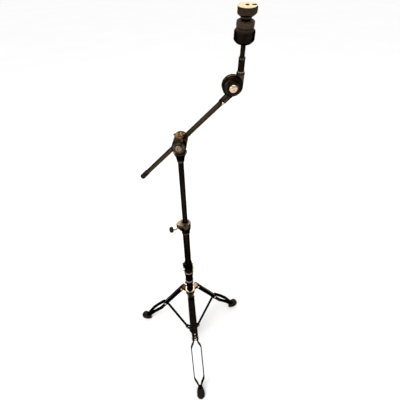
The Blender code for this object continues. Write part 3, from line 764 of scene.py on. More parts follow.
strip_steel = strip_plating("black nickel strip")
three_of(channel, strip_steel, "leg_{}", "black_nickel", "leg_{}_channel")
three_of(strip, strip_steel, "leg_{}", "black_nickel", "leg_{}_loop")

hip_rivet = dome_rivet("hip rivet", 2.5, 4.6, 2.4, half + 0.3)
settle(hip_rivet, leg_bench @ lie_across)
three_of(hip_rivet, bright, "leg_{}", "bright_chrome", "leg_{}_hub_rivet")
for name, side in (("left", 1.0), ("right", -1.0)):
    head = spun(
        f"knee rivet {name}",
        [
            (0.0, 6.2),
            (2.5, 6.2),
            (2.5, half + 0.3),
            (4.8, half + 0.3),
            (4.8, half + 0.8),
            (4.3, half + 1.7),
            (3.0, half + 2.4),
            (1.4, half + 2.65),
            (0.0, half + 2.7),
        ],
        40,
    )
    settle(head, leg_bench @ shift(leg_long, 0.0, 0.0) @ turned("X", -90.0 * side))
    three_of(head, bright, "leg_{}", "bright_chrome", "leg_{}_knee_rivet_" + name)

tongue = cast_bar("knee tongue", 5.2, 2.0, 20.0)
soften(tongue, 0.4)
settle(tongue, leg_bench @ shift(leg_long - WINDOW_BACK, 0.0, 3.4))
three_of(tongue, strip_steel, "leg_{}", "black_nickel", "")
stud = spun(
    "tongue rivet",
    [(0.0, 3.0), (3.4, 3.0), (3.4, 4.6), (3.1, 5.4), (2.2, 6.1), (1.0, 6.4), (0.0, 6.4)],
    36,
)
settle(stud, leg_bench @ shift(leg_long - 20.5, 0.0, 0.0))
three_of(stud, bright, "leg_{}", "bright_chrome", "")
stop_pin = round_bar("stop pin", 1.7, -5.0, 5.0, 28)
soften(stop_pin, 0.5)
settle(stop_pin, leg_bench @ shift(leg_long - 7.0, 0.0, 3.2) @ lie_across)
three_of(stop_pin, bright, "leg_{}", "bright_chrome", "")

# ---- Rubber feet ----------------------------------------------------------------
# Moulded boots pushed over the closed end of each loop: a long rounded sole with
# three grip ridges round it, narrowing to a collar where the strip goes in.

FOOT_LONG = 50.0
FOOT_WIDE = 32.0
foot_bench = POLE @ FRONT @ shift(FOOT_RADIUS, 0.0, 0.0)
foot_levels = [
    (0.0, 0.88, 0.0),
    (0.8, 0.94, 0.0),
    (2.6, 0.98, 0.0),
    (3.6, 0.945, 0.0),
    (4.8, 0.945, 0.0),
    (5.6, 0.995, 0.0),
    (7.2, 0.995, 0.0),
    (8.0, 0.955, 0.0),
    (9.2, 0.955, 0.0),
    (10.0, 1.0, 0.0),
    (12.6, 0.995, -0.2),
    (17.0, 0.955, -0.6),
    (21.0, 0.89, -1.6),
    (25.0, 0.77, -3.4),
    (28.0, 0.62, -5.4),
    (29.4, 0.52, -6.6),
    (30.0, 0.44, -7.0),
]


def grown(name, sides, radius, parted, stages):
    """A round blank parted along X and drawn up through (level, size, set-back) stages."""
    put_all_down()
    bpy.ops.mesh.primitive_circle_add(vertices=sides, radius=radius * MM, fill_type="NGON")
    piece = bpy.context.object
    piece.name = name
    for side in (1.0, -1.0):
        pick(piece, lambda point: point.x * side > 0.01)
        bpy.ops.transform.translate(value=(side * parted * MM, 0, 0))
    bpy.ops.mesh.select_all(action="SELECT")
    level, size, back = stages[0]
    bpy.ops.transform.resize(value=(size, size, size))
    bpy.ops.transform.translate(value=(back * MM, 0, level * MM))
    for next_level, next_size, next_back in stages[1:]:
        move = ((next_back - back) * MM, 0, (next_level - level) * MM)
        bpy.ops.mesh.extrude_region_move(TRANSFORM_OT_translate={"value": move})
        bpy.ops.transform.resize(value=(next_size / size, next_size / size, 1.0))
        level, size, back = next_level, next_size, next_back
    close_up()
    return piece


foot = grown("foot", 64, FOOT_WIDE / 2.0, (FOOT_LONG - FOOT_WIDE) / 2.0, foot_levels)
pick(foot, lambda point: point.z < 0.01)
bpy.ops.mesh.inset(thickness=4.0 * MM, depth=0.0)
bpy.ops.transform.translate(value=(0, 0, 1.4 * MM))
bpy.ops.object.mode_set(mode="OBJECT")
pick(foot, lambda point: point.x < -20.0)
bpy.ops.transform.resize(
    value=(1.0, 0.66, 1.0),
    center_override=(-25.0 * MM, 0, 0),
    use_proportional_edit=True,
    proportional_edit_falloff="SMOOTH",
    proportional_size=26.0 * MM,
)
bpy.ops.object.mode_set(mode="OBJECT")
settle(foot, foot_bench)
pocket = cast_bar("pocket", 8.0, 14.4, 60.0)
pitch = math.atan2(strip_rise(foot_along) - strip_rise(foot_along - 20.0), 20.0)
seat = shift(foot_along, 0.0, strip_rise(foot_along)) @ turned("Y", -math.degrees(pitch))
settle(pocket, leg_bench @ seat @ shift(-64.0, 0.0, 0.0))
cut_from(foot, pocket)
soften(foot, 0.5, 2, 40.0)
three_of(foot, rubber("foot rubber"), "leg_{}", "rubber", "leg_{}_foot")

# ---- Braces ---------------------------------------------------------------------
# Flat plated steel bars with round ends. Each swings on a pin in the lower collar
# and reaches up into its leg's channel at the knee.

BRACE_HALF = 5.0
BRACE_THICK = 6.0
brace_long = math.hypot(KNEE[0] - LOWER_RADIUS, KNEE[1] - LOWER_HEIGHT)
brace_lean = math.atan2(KNEE[0] - LOWER_RADIUS, KNEE[1] - LOWER_HEIGHT)
brace = cast_bar("brace", BRACE_HALF, BRACE_THICK, brace_long, 48)
cut_from(brace, round_bar("pin hole", 2.5, -10.0, 10.0, 32))
cut_from(brace, settle(round_bar("knee hole", 2.5, -10.0, 10.0, 32), shift(brace_long, 0.0, 0.0)))
soften(brace, 0.5, 2)
ankle = POLE @ FRONT @ shift(LOWER_RADIUS, 0.0, LOWER_HEIGHT)
settle(brace, ankle @ turned("Y", math.degrees(brace_lean) - 90.0) @ lie_across)
three_of(brace, strip_steel, "brace_{}", "black_nickel", "leg_{}_brace")

# ---- Base clamp -----------------------------------------------------------------
# A flared casting over the base tube's top, with smoky pressed rings at its foot
# and mouth and a screw boss behind. A nylon bush in its mouth grips the next tube.

foot_ring_low, mouth = levels("base_clamp")
base_clamp = spun(
    "base clamp",
    [
        (13.8, foot_ring_low + 6.4),
        (14.0, foot_ring_low + 20.0),
        (14.5, foot_ring_low + 28.0),
        (15.4, foot_ring_low + 38.0),
        (16.6, foot_ring_low + 47.0),
        (16.9, mouth - 5.0),
        (15.3, mouth - 5.0),
        (13.0, mouth - 5.4),
        (13.0, foot_ring_low + 6.4),
        (13.8, foot_ring_low + 6.4),
    ],
)
boss = round_bar("clamp boss", 7.0, 13.4, 23.0)
settle(boss, shift(0.0, 0.0, 460.0) @ turned("X", -90.0))
join_to(base_clamp, boss)
soften(base_clamp, 0.5)
settle(base_clamp, POLE)
fit(base_clamp, casting, "base", "casting", "base_clamp")

rings = (
    ("clamp foot ring", 13.0, 15.4, foot_ring_low, foot_ring_low + 6.0),
    ("clamp mouth ring", 15.2, 17.2, mouth - 4.7, mouth),
)
for name, bore, radius, low_edge, high_edge in rings:
    ring = spun(
        name,
        [
            (bore, low_edge),
            (radius - 0.6, low_edge),
            (radius, low_edge + 0.7),
            (radius, high_edge - 1.8),
            (radius - 0.5, high_edge - 0.6),
            (radius - 1.3, high_edge),
            (bore, high_edge),
            (bore, low_edge),
        ],
    )
    settle(ring, POLE)
    fit(ring, ring_plating, "base", "bright_chrome")


def nylon(name, bench=None):
    """Black moulded nylon with a fine spark texture and a dull shine."""
    finish = Finish(name, metallic=0.0, specular_ior_level=0.05)
    spark = finish.noise(finish.place(bench), 2600.0, 2.0)
    flow = finish.noise(finish.place(bench), 90.0, 4.0)
    tone = finish.blend(flow, (0.005, 0.004, 0.004), (0.016, 0.013, 0.011))
    tone = finish.blend(finish.worn_edges(0.52, 0.60) * 0.3, tone, (0.13, 0.12, 0.11))
    rough = 0.08 * spark + finish.between(flow, 0.3, 0.7, 0.30, 0.46)
    finish.bumps(spark, 0.20, 0.06)
    return finish.set(base_color=tone, roughness=rough)


black_nylon = nylon("black nylon")
bush_low, bush_high = levels("base_bush")
base_bush = pipe("base bush", 15.0, 11.35, bush_low, bush_high, 0.6)
settle(base_bush, POLE)
fit(base_bush, black_nylon, "base_bush", "plastic", "base_bush")

# ---- Middle tube ----------------------------------------------------------------
# The second tube, a size smaller. It slides and turns in the base clamp's bush.

pole_tube("middle tube", "middle_tube", "middle", 1.5)

# ---- Memory lock ----------------------------------------------------------------
# A hinged cast ring that stays on the middle tube to keep its height. A square-head
# key screw draws its two lugs together; a bright hinge pin stands on the far side.

lock_low, lock_high = levels("memory_lock")
lock_middle = (lock_low + lock_high) / 2.0
memory_lock = spun(
    "memory lock",
    [
        (14.0, lock_low),
        (14.9, lock_low + 0.9),
        (14.9, lock_low + 9.6),
        (14.1, lock_low + 10.6),
        (14.1, lock_high - 10.6),
        (14.9, lock_high - 9.6),
        (14.9, lock_high - 0.9),
        (14.0, lock_high),
        (11.3, lock_high),
        (11.3, lock_low),
        (14.0, lock_low),
    ],
)
for level in (lock_low + 4.0, lock_high - 13.5):
    lug = block("lug", (-20.6, -5.8, level), (-13.2, 5.8, level + 9.5))
    soften(lug, 1.4, 3)
    join_to(memory_lock, lug)
web = block("lug web", (-18.0, -4.6, lock_low + 6.0), (-13.2, 4.6, lock_high - 6.0))
join_to(memory_lock, web)
cut_from(memory_lock, block("split", (-26, -0.8, lock_low - 5), (-10, 0.8, lock_high + 5)))
KEY_X = -17.2
HINGE_X = 16.2
key_hole = round_bar("key hole", 2.6, -10.0, 10.0, 32)
settle(key_hole, shift(KEY_X, 0.0, lock_middle) @ lie_across)
cut_from(memory_lock, key_hole)
hinge_seat = round_bar("hinge seat", 3.0, lock_low - 2, lock_high + 2)
cut_from(memory_lock, settle(hinge_seat, shift(HINGE_X, 0, 0)))
soften(memory_lock, 0.35)
settle(memory_lock, POLE)
fit(memory_lock, casting, "memory_lock", "casting", "memory_lock")

hinge_pin = spun(
    "lock hinge pin",
    [
        (0.0, lock_low + 0.6),
        (2.0, lock_low + 0.6),
        (2.6, lock_low + 1.4),
        (2.6, lock_middle - 6.0),
        (2.3, lock_middle - 5.6),
        (2.3, lock_middle + 5.6),
        (2.6, lock_middle + 6.0),
        (2.6, lock_high - 1.4),
        (2.0, lock_high - 0.6),
        (0.0, lock_high - 0.6),
    ],
    36,
)
settle(hinge_pin, POLE @ shift(HINGE_X, 0.0, 0.0))
fit(hinge_pin, bright, "memory_lock", "bright_chrome")

key_screw = spun(
    "lock key screw",
    [(0.0, -8.5)]
    + thread(2.3, -8.5, 6.3, 1.0, 0.3)
    + [(4.0, 6.3), (4.0, 8.2), (3.6, 8.6), (0.0, 8.6)],
    36,
)
square = block("key head", (-2.3, -2.3, 8.0), (2.3, 2.3, 13.5))
soften(square, 0.4)
join_to(key_screw, square)
settle(key_screw, POLE @ shift(KEY_X, 0.0, lock_middle) @ lie_across)
fit(key_screw, bright, "lock_key", "bright_chrome", "lock_key_screw")

# ---- Height clamp ---------------------------------------------------------------
# The casting on the middle tube's top. It flares up from the tube into a drop-shaped
# head whose nose is slit and tapped for the T-screw; a nylon bush sits in its mouth.

clamp_low, clamp_high = levels("height_clamp")
screw_height = joints["height_screw_turn"]["pos_m"][2] / MM
screw_axis = Vector(joints["height_screw_turn"]["axis"])
nose_turn = turned("Z", math.degrees(math.atan2(screw_axis.y, screw_axis.x)))
NOSE_REACH = 20.0
NOSE_RADIUS = 8.8
HEAD_RADIUS = 17.2
height_clamp = spun(
    "height clamp",
    [
        (12.6, clamp_low),
        (13.4, clamp_low + 1.0),
        (13.4, clamp_low + 7.0),
        (14.2, clamp_low + 11.0),
        (15.6, clamp_low + 16.0),
        (16.8, clamp_low + 22.0),
        (HEAD_RADIUS, clamp_low + 27.0),
        (HEAD_RADIUS, clamp_high - 1.2),
        (HEAD_RADIUS - 1.2, clamp_high),
        (13.4, clamp_high),
        (13.4, clamp_high - 3.9),
        (11.3, clamp_high - 3.9),
        (11.3, clamp_low),
        (12.6, clamp_low),
    ],
)
nose_lean = math.acos((HEAD_RADIUS - NOSE_RADIUS) / NOSE_REACH)
nose_round = [nose_lean * (1.0 - count / 10.0) for count in range(21)]
nose_parts = ((screw_height - 9.5, screw_height + 8.6), (screw_height + 10.2, clamp_high))
for part_low, part_high in nose_parts:
    wedge = drawn(
        "nose",
        [
            (0.0, 0.0, part_low),
            (HEAD_RADIUS * math.cos(nose_lean), HEAD_RADIUS * math.sin(nose_lean), part_low),
        ]
        + [
            (NOSE_REACH + NOSE_RADIUS * math.cos(t), NOSE_RADIUS * math.sin(t), part_low)
            for t in nose_round
        ]
        + [(HEAD_RADIUS * math.cos(nose_lean), -HEAD_RADIUS * math.sin(nose_lean), part_low)],
    )
    bpy.ops.mesh.edge_face_add()
    raise_by = (0, 0, (part_high - part_low) * MM)
    bpy.ops.mesh.extrude_region_move(TRANSFORM_OT_translate={"value": raise_by})
    close_up()
    if part_high < clamp_high:
        pick(wedge, lambda point: point.z < part_low + 0.1 and point.x > HEAD_RADIUS * 0.6)
        bpy.ops.transform.translate(value=(-9.0 * MM, 0, 0))
        bpy.ops.transform.resize(value=(0.7, 0.7, 1.0))
        bpy.ops.object.mode_set(mode="OBJECT")
    settle(wedge, nose_turn)
    join_to(height_clamp, wedge)
cut_from(height_clamp, round_bar("bore", 11.35, clamp_low - 5, clamp_high - 3.9, 72))
cut_from(height_clamp, round_bar("bush seat", 13.4, clamp_high - 3.9, clamp_high + 9, 72))
tapping = round_bar("tapping", 3.7, 11.0, 40.0, 32)
settle(tapping, nose_turn @ shift(0.0, 0.0, screw_height) @ turned("Y", 90.0))
cut_from(height_clamp, tapping)
soften(height_clamp, 0.6, 3)
settle(height_clamp, POLE)
fit(height_clamp, casting, "middle", "casting", "height_clamp")

bush_low, bush_high = levels("height_bush")
height_bush = spun(
    "height bush",
    [
        (13.0, clamp_high - 3.6),
        (13.0, bush_high - 1.2),
        (12.0, bush_high),
        (9.0, bush_high),
        (8.2, bush_high - 0.8),
        (8.2, bush_low),
        (9.3, bush_low),
        (9.3, clamp_high - 3.6),
        (13.0, clamp_high - 3.6),
    ],
)
settle(height_bush, POLE)
fit(height_bush, black_nylon, "height_bush", "plastic", "height_bush")

# ---- T-screw --------------------------------------------------------------------
# A bright threaded stem with a shoulder, and an oval black knob moulded over its end.

screw_bench = bench_of(Vector(joints["height_screw_turn"]["pos_m"]), screw_axis, (0, 0, 1))
stem = spun(
    "T-screw stem",
    [(0.0, 11.9)]
    + thread(3.2, 11.9, 30.0)
    + [(4.8, 31.6), (5.4, 32.2), (5.4, 37.6), (4.8, 38.2), (3.4, 38.8), (3.4, 45.0), (0.0, 45.0)],
    40,
)
settle(stem, screw_bench)
fit(stem, bright, "height_screw", "bright_chrome", "t_screw_stem")
KNOB_LEVELS = (
    (39.6, 0.52),
    (40.4, 0.72),
    (41.6, 0.88),
    (44.0, 0.99),
    (46.0, 1.0),
    (48.4, 0.97),
    (50.6, 0.86),
    (52.0, 0.68),
    (52.8, 0.42),
)
knob_stages = [(level, size, 0.0) for level, size in KNOB_LEVELS]
knob = grown("T-screw knob", 48, 6.6, 4.6, knob_stages)
cut_from(knob, round_bar("stem hole", 3.7, 35.0, 45.3))
soften(knob, 0.5, 3, 20.0)
settle(knob, screw_bench)
fit(knob, black_nylon, "height_screw", "plastic", "t_screw_knob")

# ---- Upper tube -----------------------------------------------------------------
# The thinnest tube of the pole. It slides in the height clamp and carries the boom.

pole_tube("upper tube", "upper_tube", "upper", 1.25)

# ---- Boom post ------------------------------------------------------------------
# A casting pressed on the upper tube: a funnel-shaped neck, cut flat behind to let
# the boom by, and a round cheek in front that the barrel clamps against.

boom_tilt = joints["boom_tilt"]
clamp_front = Vector(boom_tilt["axis"])
clamp_right = Vector((0, 0, 1)).cross(clamp_front)
clamp_bench = bench_of(Vector(boom_tilt["pos_m"]), clamp_front, clamp_right)
BARREL_RADIUS = 19.0
post = spun(
    "boom post",
    [
        (0.0, 25.0),
        (10.8, 25.0),
        (11.6, -19.3),
        (17.2, -19.3),
        (18.2, -19.9),
        (18.5, -21.0),
        (18.2, -22.6),
        (17.0, -25.0),
        (14.8, -29.4),
        (12.8, -34.0),
        (11.4, -39.5),
        (10.4, -45.0),
        (10.2, -46.4),
        (9.7, -46.9),
        (9.7, -50.0),
        (9.2, -51.0),
        (8.1, -51.0),
        (8.1, -43.6),
        (0.0, -43.6),
    ],
)
settle(post, turned("X", -90.0))
cut_from(post, block("barrel room", (-25, -19.6, -30), (25, 45, 0.5)))
cut_from(post, block("boom room", (-30, -60, -30), (30, 45, -12.3)))
cheek = spun(
    "cheek",
    [
        (0.0, 0.5),
        (18.0, 0.5),
        (18.8, 0.9),
        (19.0, 1.7),
        (19.0, 14.4),
        (18.7, 15.6),
        (18.0, 16.4),
        (16.8, 17.0),
        (0.0, 17.0),
    ],
    96,
)
join_to(post, cheek)
cut_from(post, round_bar("bolt hole", 4.5, -5.0, 30.0))
soften(post, 0.4)
settle(post, clamp_bench)
fit(post, casting, "upper", "casting", "boom_post")

pivot_bolt = spun(
    "boom pivot bolt",
    [
        (0.0, -9.5),
        (4.2, -9.5),
        (4.2, 17.3),
        (8.0, 17.3),
        (8.5, 17.8),
        (8.5, 19.8),
        (8.0, 21.2),
        (6.8, 22.0),
        (5.2, 22.0),
        (4.3, 21.4),
        (3.8, 20.2),
        (3.2, 19.6),
        (0.0, 19.6),
    ],
)
settle(pivot_bolt, clamp_bench)
fit(pivot_bolt, ring_plating, "upper", "bright_chrome", "boom_pivot_bolt")

# ---- Boom barrel ----------------------------------------------------------------
# The turned half of the boom clamp, fluted for grip along its length. The boom goes
# through it in a nylon bush, and a wing nut behind pulls everything tight.

FLUTES = 14
barrel = spun(
    "boom barrel",
    [
        (0.0, -43.0),
        (16.6, -43.0),
        (17.8, -42.6),
        (18.7, -41.4),
        (19.0, -40.0),
        (19.0, -2.6),
        (18.8, -1.4),
        (18.2, -0.7),
        (17.4, -0.5),
        (0.0, -0.5),
    ],
    112,
)
for count in range(FLUTES):
    flute = round_bar("flute", 3.4, -39.5, -5.5, 24)
    soften(flute, 1.4, 3)
    settle(flute, turned("Z", 360.0 / FLUTES * (count + 0.5)) @ shift(BARREL_RADIUS + 1.2, 0.0, 0.0))
    cut_from(barrel, flute)
boom_turn = joints["boom_turn"]
boom_line = Vector(boom_turn["axis"])
boom_way = bench_of(Vector(boom_turn["pos_m"]), boom_line, clamp_right)
boom_hole = round_bar("boom hole", 8.9, -40.0, 40.0, 64)
settle(boom_hole, clamp_bench.inverted() @ boom_way)
cut_from(barrel, boom_hole)
cut_from(barrel, round_bar("bolt hole", 4.5, -11.0, 10.0))
cut_from(barrel, round_bar("stud hole", 3.8, -60.0, -20.0))
soften(barrel, 0.3, 2, 40.0)
settle(barrel, clamp_bench)
barrel_plating = bright_plating(
    "barrel plating", (0.08, 0.06, 0.045), (0.03, 0.022, 0.016), (0.36, 0.34, 0.31)
)
fit(barrel, barrel_plating, "barrel", "casting", "boom_barrel")

wing_back = bench_of(Vector(boom_tilt["pos_m"]), -clamp_front, clamp_right)
barrel_nut = winged("boom wing nut", 8.5, 24.0, 43.4, (3.4, 29.2))
settle(barrel_nut, wing_back)
fit(barrel_nut, casting, "barrel_nut", "casting", "boom_wing_nut")

# ---- Boom -----------------------------------------------------------------------
# A long thin tube held in the barrel's bush, so that it slides and rolls. A rubber
# sleeve closes its lower end, and the tilter's socket takes the upper one.

tilter_tilt = joints["tilter_tilt"]
tilt_axis = Vector(tilter_tilt["axis"])
tilt_at = Vector(tilter_tilt["pos_m"])
tilt_side = tilt_axis.cross(boom_line)
boom_bench = bench_of(Vector(boom_turn["pos_m"]), boom_line, tilt_side)
boom_plating = tube_plating(
    "black nickel boom", boom_bench, (0.016, 0.011, 0.008), (0.060, 0.042, 0.026)
)
BOOM_RADIUS = 6.35
BOOM_LOW = -167.0
BOOM_HIGH = 166.0
boom = pipe("boom", BOOM_RADIUS, 5.2, BOOM_LOW, BOOM_HIGH)
settle(boom, boom_bench)
fit(boom, boom_plating, "boom", "black_nickel", "boom_tube")
boom_bush = pipe("boom bush", 8.6, 6.6, -18.0, 18.0, 0.5)
settle(boom_bush, boom_bench)
fit(boom_bush, black_nylon, "boom_bush", "plastic", "boom_bush")
sleeve = spun(
    "boom end sleeve",
    [
        (0.0, BOOM_LOW - 3.3),
        (4.6, BOOM_LOW - 3.2),
        (6.2, BOOM_LOW - 2.4),
        (7.2, BOOM_LOW - 0.8),
        (7.5, BOOM_LOW + 1.4),
        (7.5, BOOM_LOW + 16.0),
        (7.2, BOOM_LOW + 16.5),
        (7.2, BOOM_LOW + 17.5),
        (7.5, BOOM_LOW + 18.0),
        (7.5, BOOM_LOW + 22.6),
        (7.2, BOOM_LOW + 24.0),
        (6.6, BOOM_LOW + 24.5),
        (6.6, BOOM_LOW - 0.3),
        (0.0, BOOM_LOW - 0.3),
    ],
)
settle(sleeve, boom_bench)
fit(sleeve, rubber("sleeve rubber", boom_bench), "boom", "rubber", "boom_end_cap")

# ---- Tilter ---------------------------------------------------------------------
# Two cast halves with meeting faces, clamped by one bolt. The front half ends in the
# socket on the boom; the rear half carries the cymbal rod. A dark gap parts them.

TILTER_DRUM = [
    (0.0, 0.3),
    (22.6, 0.3),
    (23.6, 1.0),
    (24.0, 2.2),
    (24.0, 6.6),
    (23.4, 8.4),
    (22.2, 9.6),
    (20.6, 10.0),
]
SOCKET_SIDE = -12.4
SET_SCREW_X = -42.0
tilter_bench = bench_of(tilt_at, tilt_axis, boom_line)
to_socket = shift(0.0, SOCKET_SIDE, 0.0) @ turned("Y", 90.0)
front_half = spun(
    "tilter front half",
    TILTER_DRUM
    + [
        (18.4, 10.0),
        (17.9, 10.4),
        (17.7, 12.6),
        (17.0, 14.0),
        (15.8, 14.6),
        (12.2, 14.6),
        (11.3, 14.2),
        (10.9, 13.2),
        (0.0, 13.2),
    ],
    96,
)
socket = spun(
    "tilter socket",
    [
        (0.0, -47.5),
        (7.4, -47.5),
        (8.0, -47.0),
        (8.2, -46.2),
        (8.2, -42.6),
        (7.9, -42.2),
        (7.9, -41.4),
        (8.2, -41.0),
        (8.4, -20.0),
        (8.2, -5.0),
        (0.0, -5.0),
    ],
)
settle(socket, to_socket)
cut_from(socket, block("rear room", (-26, -40, -20), (5, 20, 0.7)))
join_to(front_half, socket)
socket_bore = round_bar("socket bore", 6.6, -60.0, -28.0, 64)
settle(socket_bore, to_socket)
cut_from(front_half, socket_bore)
cut_from(front_half, round_bar("bolt hole", 4.4, -20.0, 30.0))
set_hole = round_bar("set hole", 2.7, 0.0, 20.0, 32)
settle(set_hole, shift(SET_SCREW_X, SOCKET_SIDE, 0.0))
cut_from(front_half, set_hole)
soften(front_half, 0.5, 3)
settle(front_half, tilter_bench)
fit(front_half, casting, "boom", "casting", "tilter_lower")

set_screw = spun(
    "socket set screw",
    [
        (0.0, 6.8),
        (2.3, 6.8),
        (2.3, 8.6),
        (3.2, 8.6),
        (3.3, 9.0),
        (3.3, 11.0),
        (2.8, 11.8),
        (1.6, 12.0),
        (0.0, 12.0),
    ],
    36,
)
settle(set_screw, tilter_bench @ shift(SET_SCREW_X, SOCKET_SIDE, 0.0))
fit(set_screw, bright, "boom", "bright_chrome", "socket_set_screw")

dome_bolt = spun(
    "tilter bolt",
    [(0.0, -19.5)]
    + thread(4.1, -19.5, 0.0)
    + [
        (4.1, 13.5),
        (9.6, 13.5),
        (10.2, 14.1),
        (10.1, 15.2),
        (9.4, 16.8),
        (8.0, 18.4),
        (6.0, 19.6),
        (3.6, 20.2),
        (2.4, 20.2),
        (2.0, 19.2),
        (0.0, 19.2),
    ],
)
settle(dome_bolt, tilter_bench)
fit(dome_bolt, bright, "boom", "bright_chrome", "tilter_bolt")

rod_line = Vector(joints["top_nut_lift"]["axis"])
rod_bench = bench_of(tilt_at, rod_line, rod_line.cross(tilt_axis))
ROD_SIDE = 16.5
on_rod = rod_bench @ shift(ROD_SIDE, 0.0, 0.0)
rear_half = spun(
    "tilter rear half",
    TILTER_DRUM + [(9.0, 10.0), (0.0, 10.0)],
    96,
)
settle(rear_half, turned("X", -90.0))
arm = spun(
    "rod arm",
    [
        (0.0, 0.0),
        (9.4, 0.0),
        (9.6, 14.0),
        (9.6, 27.4),
        (9.2, 29.8),
        (8.4, 31.0),
        (0.0, 31.0),
    ],
)
cut_from(arm, block("front room", (-30, -20, -10), (20, 0.9, 26)))
settle(arm, shift(ROD_SIDE, 0.0, 0.0))
join_to(rear_half, arm)
cut_from(rear_half, settle(round_bar("bolt hole", 4.4, -30.0, 30.0), turned("X", -90.0)))
cut_from(rear_half, settle(round_bar("rod hole", 4.3, 27.0, 40.0), shift(ROD_SIDE, 0.0, 0.0)))
soften(rear_half, 0.5, 3)
settle(rear_half, rod_bench)
fit(rear_half, casting, "cymbal_mast", "casting", "tilter_upper")

tilter_nut = winged("tilter wing nut", 8.0, 21.0, 10.4)
settle(tilter_nut, bench_of(tilt_at, -tilt_axis, boom_line))
fit(tilter_nut, casting, "tilter_nut", "casting", "tilter_wing_nut")

# ---- Cymbal rod -----------------------------------------------------------------
# A steel rod screwed into the tilter's arm: smoky ring, plated sleeve with a dark
# rim, plain shank, then the thinner threaded end that takes the cymbal and felts.

rod_ring = spun(
    "rod ring",
    [
        (4.3, 31.4),
        (7.5, 31.4),
        (8.1, 32.0),
        (8.1, 33.4),
        (7.5, 34.2),
        (4.3, 34.2),
        (4.3, 31.4),
    ],
)
settle(rod_ring, on_rod)
fit(rod_ring, ring_plating, "cymbal_mast", "bright_chrome", "rod_ring")
rod_plating = tube_plating("black nickel rod", on_rod)
rod_sleeve = spun(
    "rod sleeve",
    [
        (4.3, 34.6),
        (7.0, 34.6),
        (7.3, 35.2),
        (7.2, 59.6),
        (4.3, 59.6),
        (4.3, 34.6),
    ],
)
settle(rod_sleeve, on_rod)
fit(rod_sleeve, rod_plating, "cymbal_mast", "black_nickel", "rod_sleeve")
sleeve_rim = spun(
    "rod sleeve rim",
    [(5.4, 60.0), (7.3, 60.0), (7.6, 60.6), (7.6, 63.2), (7.0, 64.0), (5.4, 64.0), (5.4, 60.0)],
)
settle(sleeve_rim, on_rod)
fit(sleeve_rim, barrel_plating, "cymbal_mast", "black_nickel")
cymbal_rod = spun(
    "cymbal rod",
    [
        (0.0, 27.4),
        (4.0, 27.4),
        (4.0, 64.4),
        (5.25, 64.4),
        (5.25, 96.0),
        (4.0, 96.4),
        (4.0, 136.0),
    ]
    + thread(4.0, 136.0, 156.5, 1.25, 0.4)
    + [(3.0, 158.0), (0.0, 158.0)],
)
settle(cymbal_rod, on_rod)
fit(cymbal_rod, rod_plating, "cymbal_mast", "black_nickel", "cymbal_rod")

# ---- Seat cup -------------------------------------------------------------------
# The cup that the felts sit in: chamfered below, straight-sided, with a soft rolled
# lip and one shallow turned groove.

seat_plating = cast_plating("seat plating", on_rod)
seat_cup = spun(
    "seat cup",
    [
        (5.6, 93.0),
        (7.4, 93.0),
        (15.2, 93.2),
        (16.6, 94.0),
        (20.6, 98.4),
        (21.3, 99.8),
        (21.5, 101.2),
        (21.5, 104.6),
        (21.2, 105.0),
        (21.2, 105.8),
        (21.5, 106.2),
        (21.5, 115.2),
        (21.2, 116.4),
        (20.4, 117.0),
        (19.5, 116.8),
        (19.0, 116.0),
        (19.0, 110.6),
        (4.3, 110.6),
        (4.3, 97.0),
        (5.6, 97.0),
        (5.6, 93.0),
    ],
    96,
)
settle(seat_cup, on_rod)
fit(seat_cup, seat_plating, "cymbal_mast", "plated_plastic", "seat_cup")

# ---- Felts ----------------------------------------------------------------------
# Two thick washers punched from pressed grey-brown wool felt. Their cut sides are
# fuzzy and a little uneven, and the rims have rounded over from use.


def wool_felt(name, bench, tone_low, tone_high):
    """Pressed wool: matted fibres, flecks of lighter and darker hair, no shine."""
    finish = Finish(name, metallic=0.0, specular_ior_level=0.04, sheen_weight=0.03)
    finish.set(sheen_roughness=0.6)
    hair = finish.noise(finish.place(bench, 0.35), 1500.0, 6.0, 0.8)
    mat = finish.noise(finish.place(bench), 240.0, 6.0, 0.7)
    wear = finish.noise(finish.place(bench), 55.0, 3.0)
    fleck = finish.between(finish.noise(finish.place(bench, 3.0), 950.0, 2.0), 0.64, 0.74)
    tone = finish.blend(finish.between(mat, 0.30, 0.72), tone_low, tone_high)
    tone = finish.blend(finish.between(wear, 0.4, 0.7) * 0.35, tone, (0.022, 0.015, 0.011))
    tone = finish.blend(fleck * 0.4, tone, (0.13, 0.10, 0.08))
    rough = finish.between(hair, 0.3, 0.7, 0.86, 1.0)
    finish.bumps(hair * 0.8 + mat * 1.2, 0.75, 0.5)
    return finish.set(base_color=tone, roughness=rough)


LOWER_WOOL = (0.018, 0.010, 0.006)
UPPER_WOOL = (0.028, 0.017, 0.010)
felts = (
    ("lower felt", "cymbal_mast", "lower_felt", 111.0, LOWER_WOOL, (0.042, 0.024, 0.014)),
    ("upper felt", "upper_felt", "upper_felt", 123.1, UPPER_WOOL, (0.075, 0.046, 0.028)),
)
FELT_THICK = 11.8
for name, body, node, base, tone_low, tone_high in felts:
    top = base + FELT_THICK
    felt = spun(
        name,
        [
            (4.6, base + 0.8),
            (5.4, base + 0.2),
            (16.4, base + 0.1),
            (17.7, base + 0.7),
            (18.4, base + 2.0),
            (18.5, base + 4.0),
            (18.3, base + 6.0),
            (18.5, base + 8.4),
            (18.3, top - 1.6),
            (17.5, top - 0.5),
            (16.2, top - 0.1),
            (11.0, top),
            (5.4, top - 0.2),
            (4.6, top - 0.8),
            (4.6, base + 0.8),
        ],
        96,
    )
    settle(felt, on_rod)
    rough_up = bpy.data.textures.new(name + " nap", "CLOUDS")
    rough_up.noise_scale = 2.2 * MM
    use(felt, "SUBSURF", levels=1, render_levels=1)
    use(felt, "DISPLACE", texture=rough_up, strength=0.45 * MM, mid_level=0.75)
    fit(felt, wool_felt(name, on_rod, tone_low, tone_high), body, "felt", node)

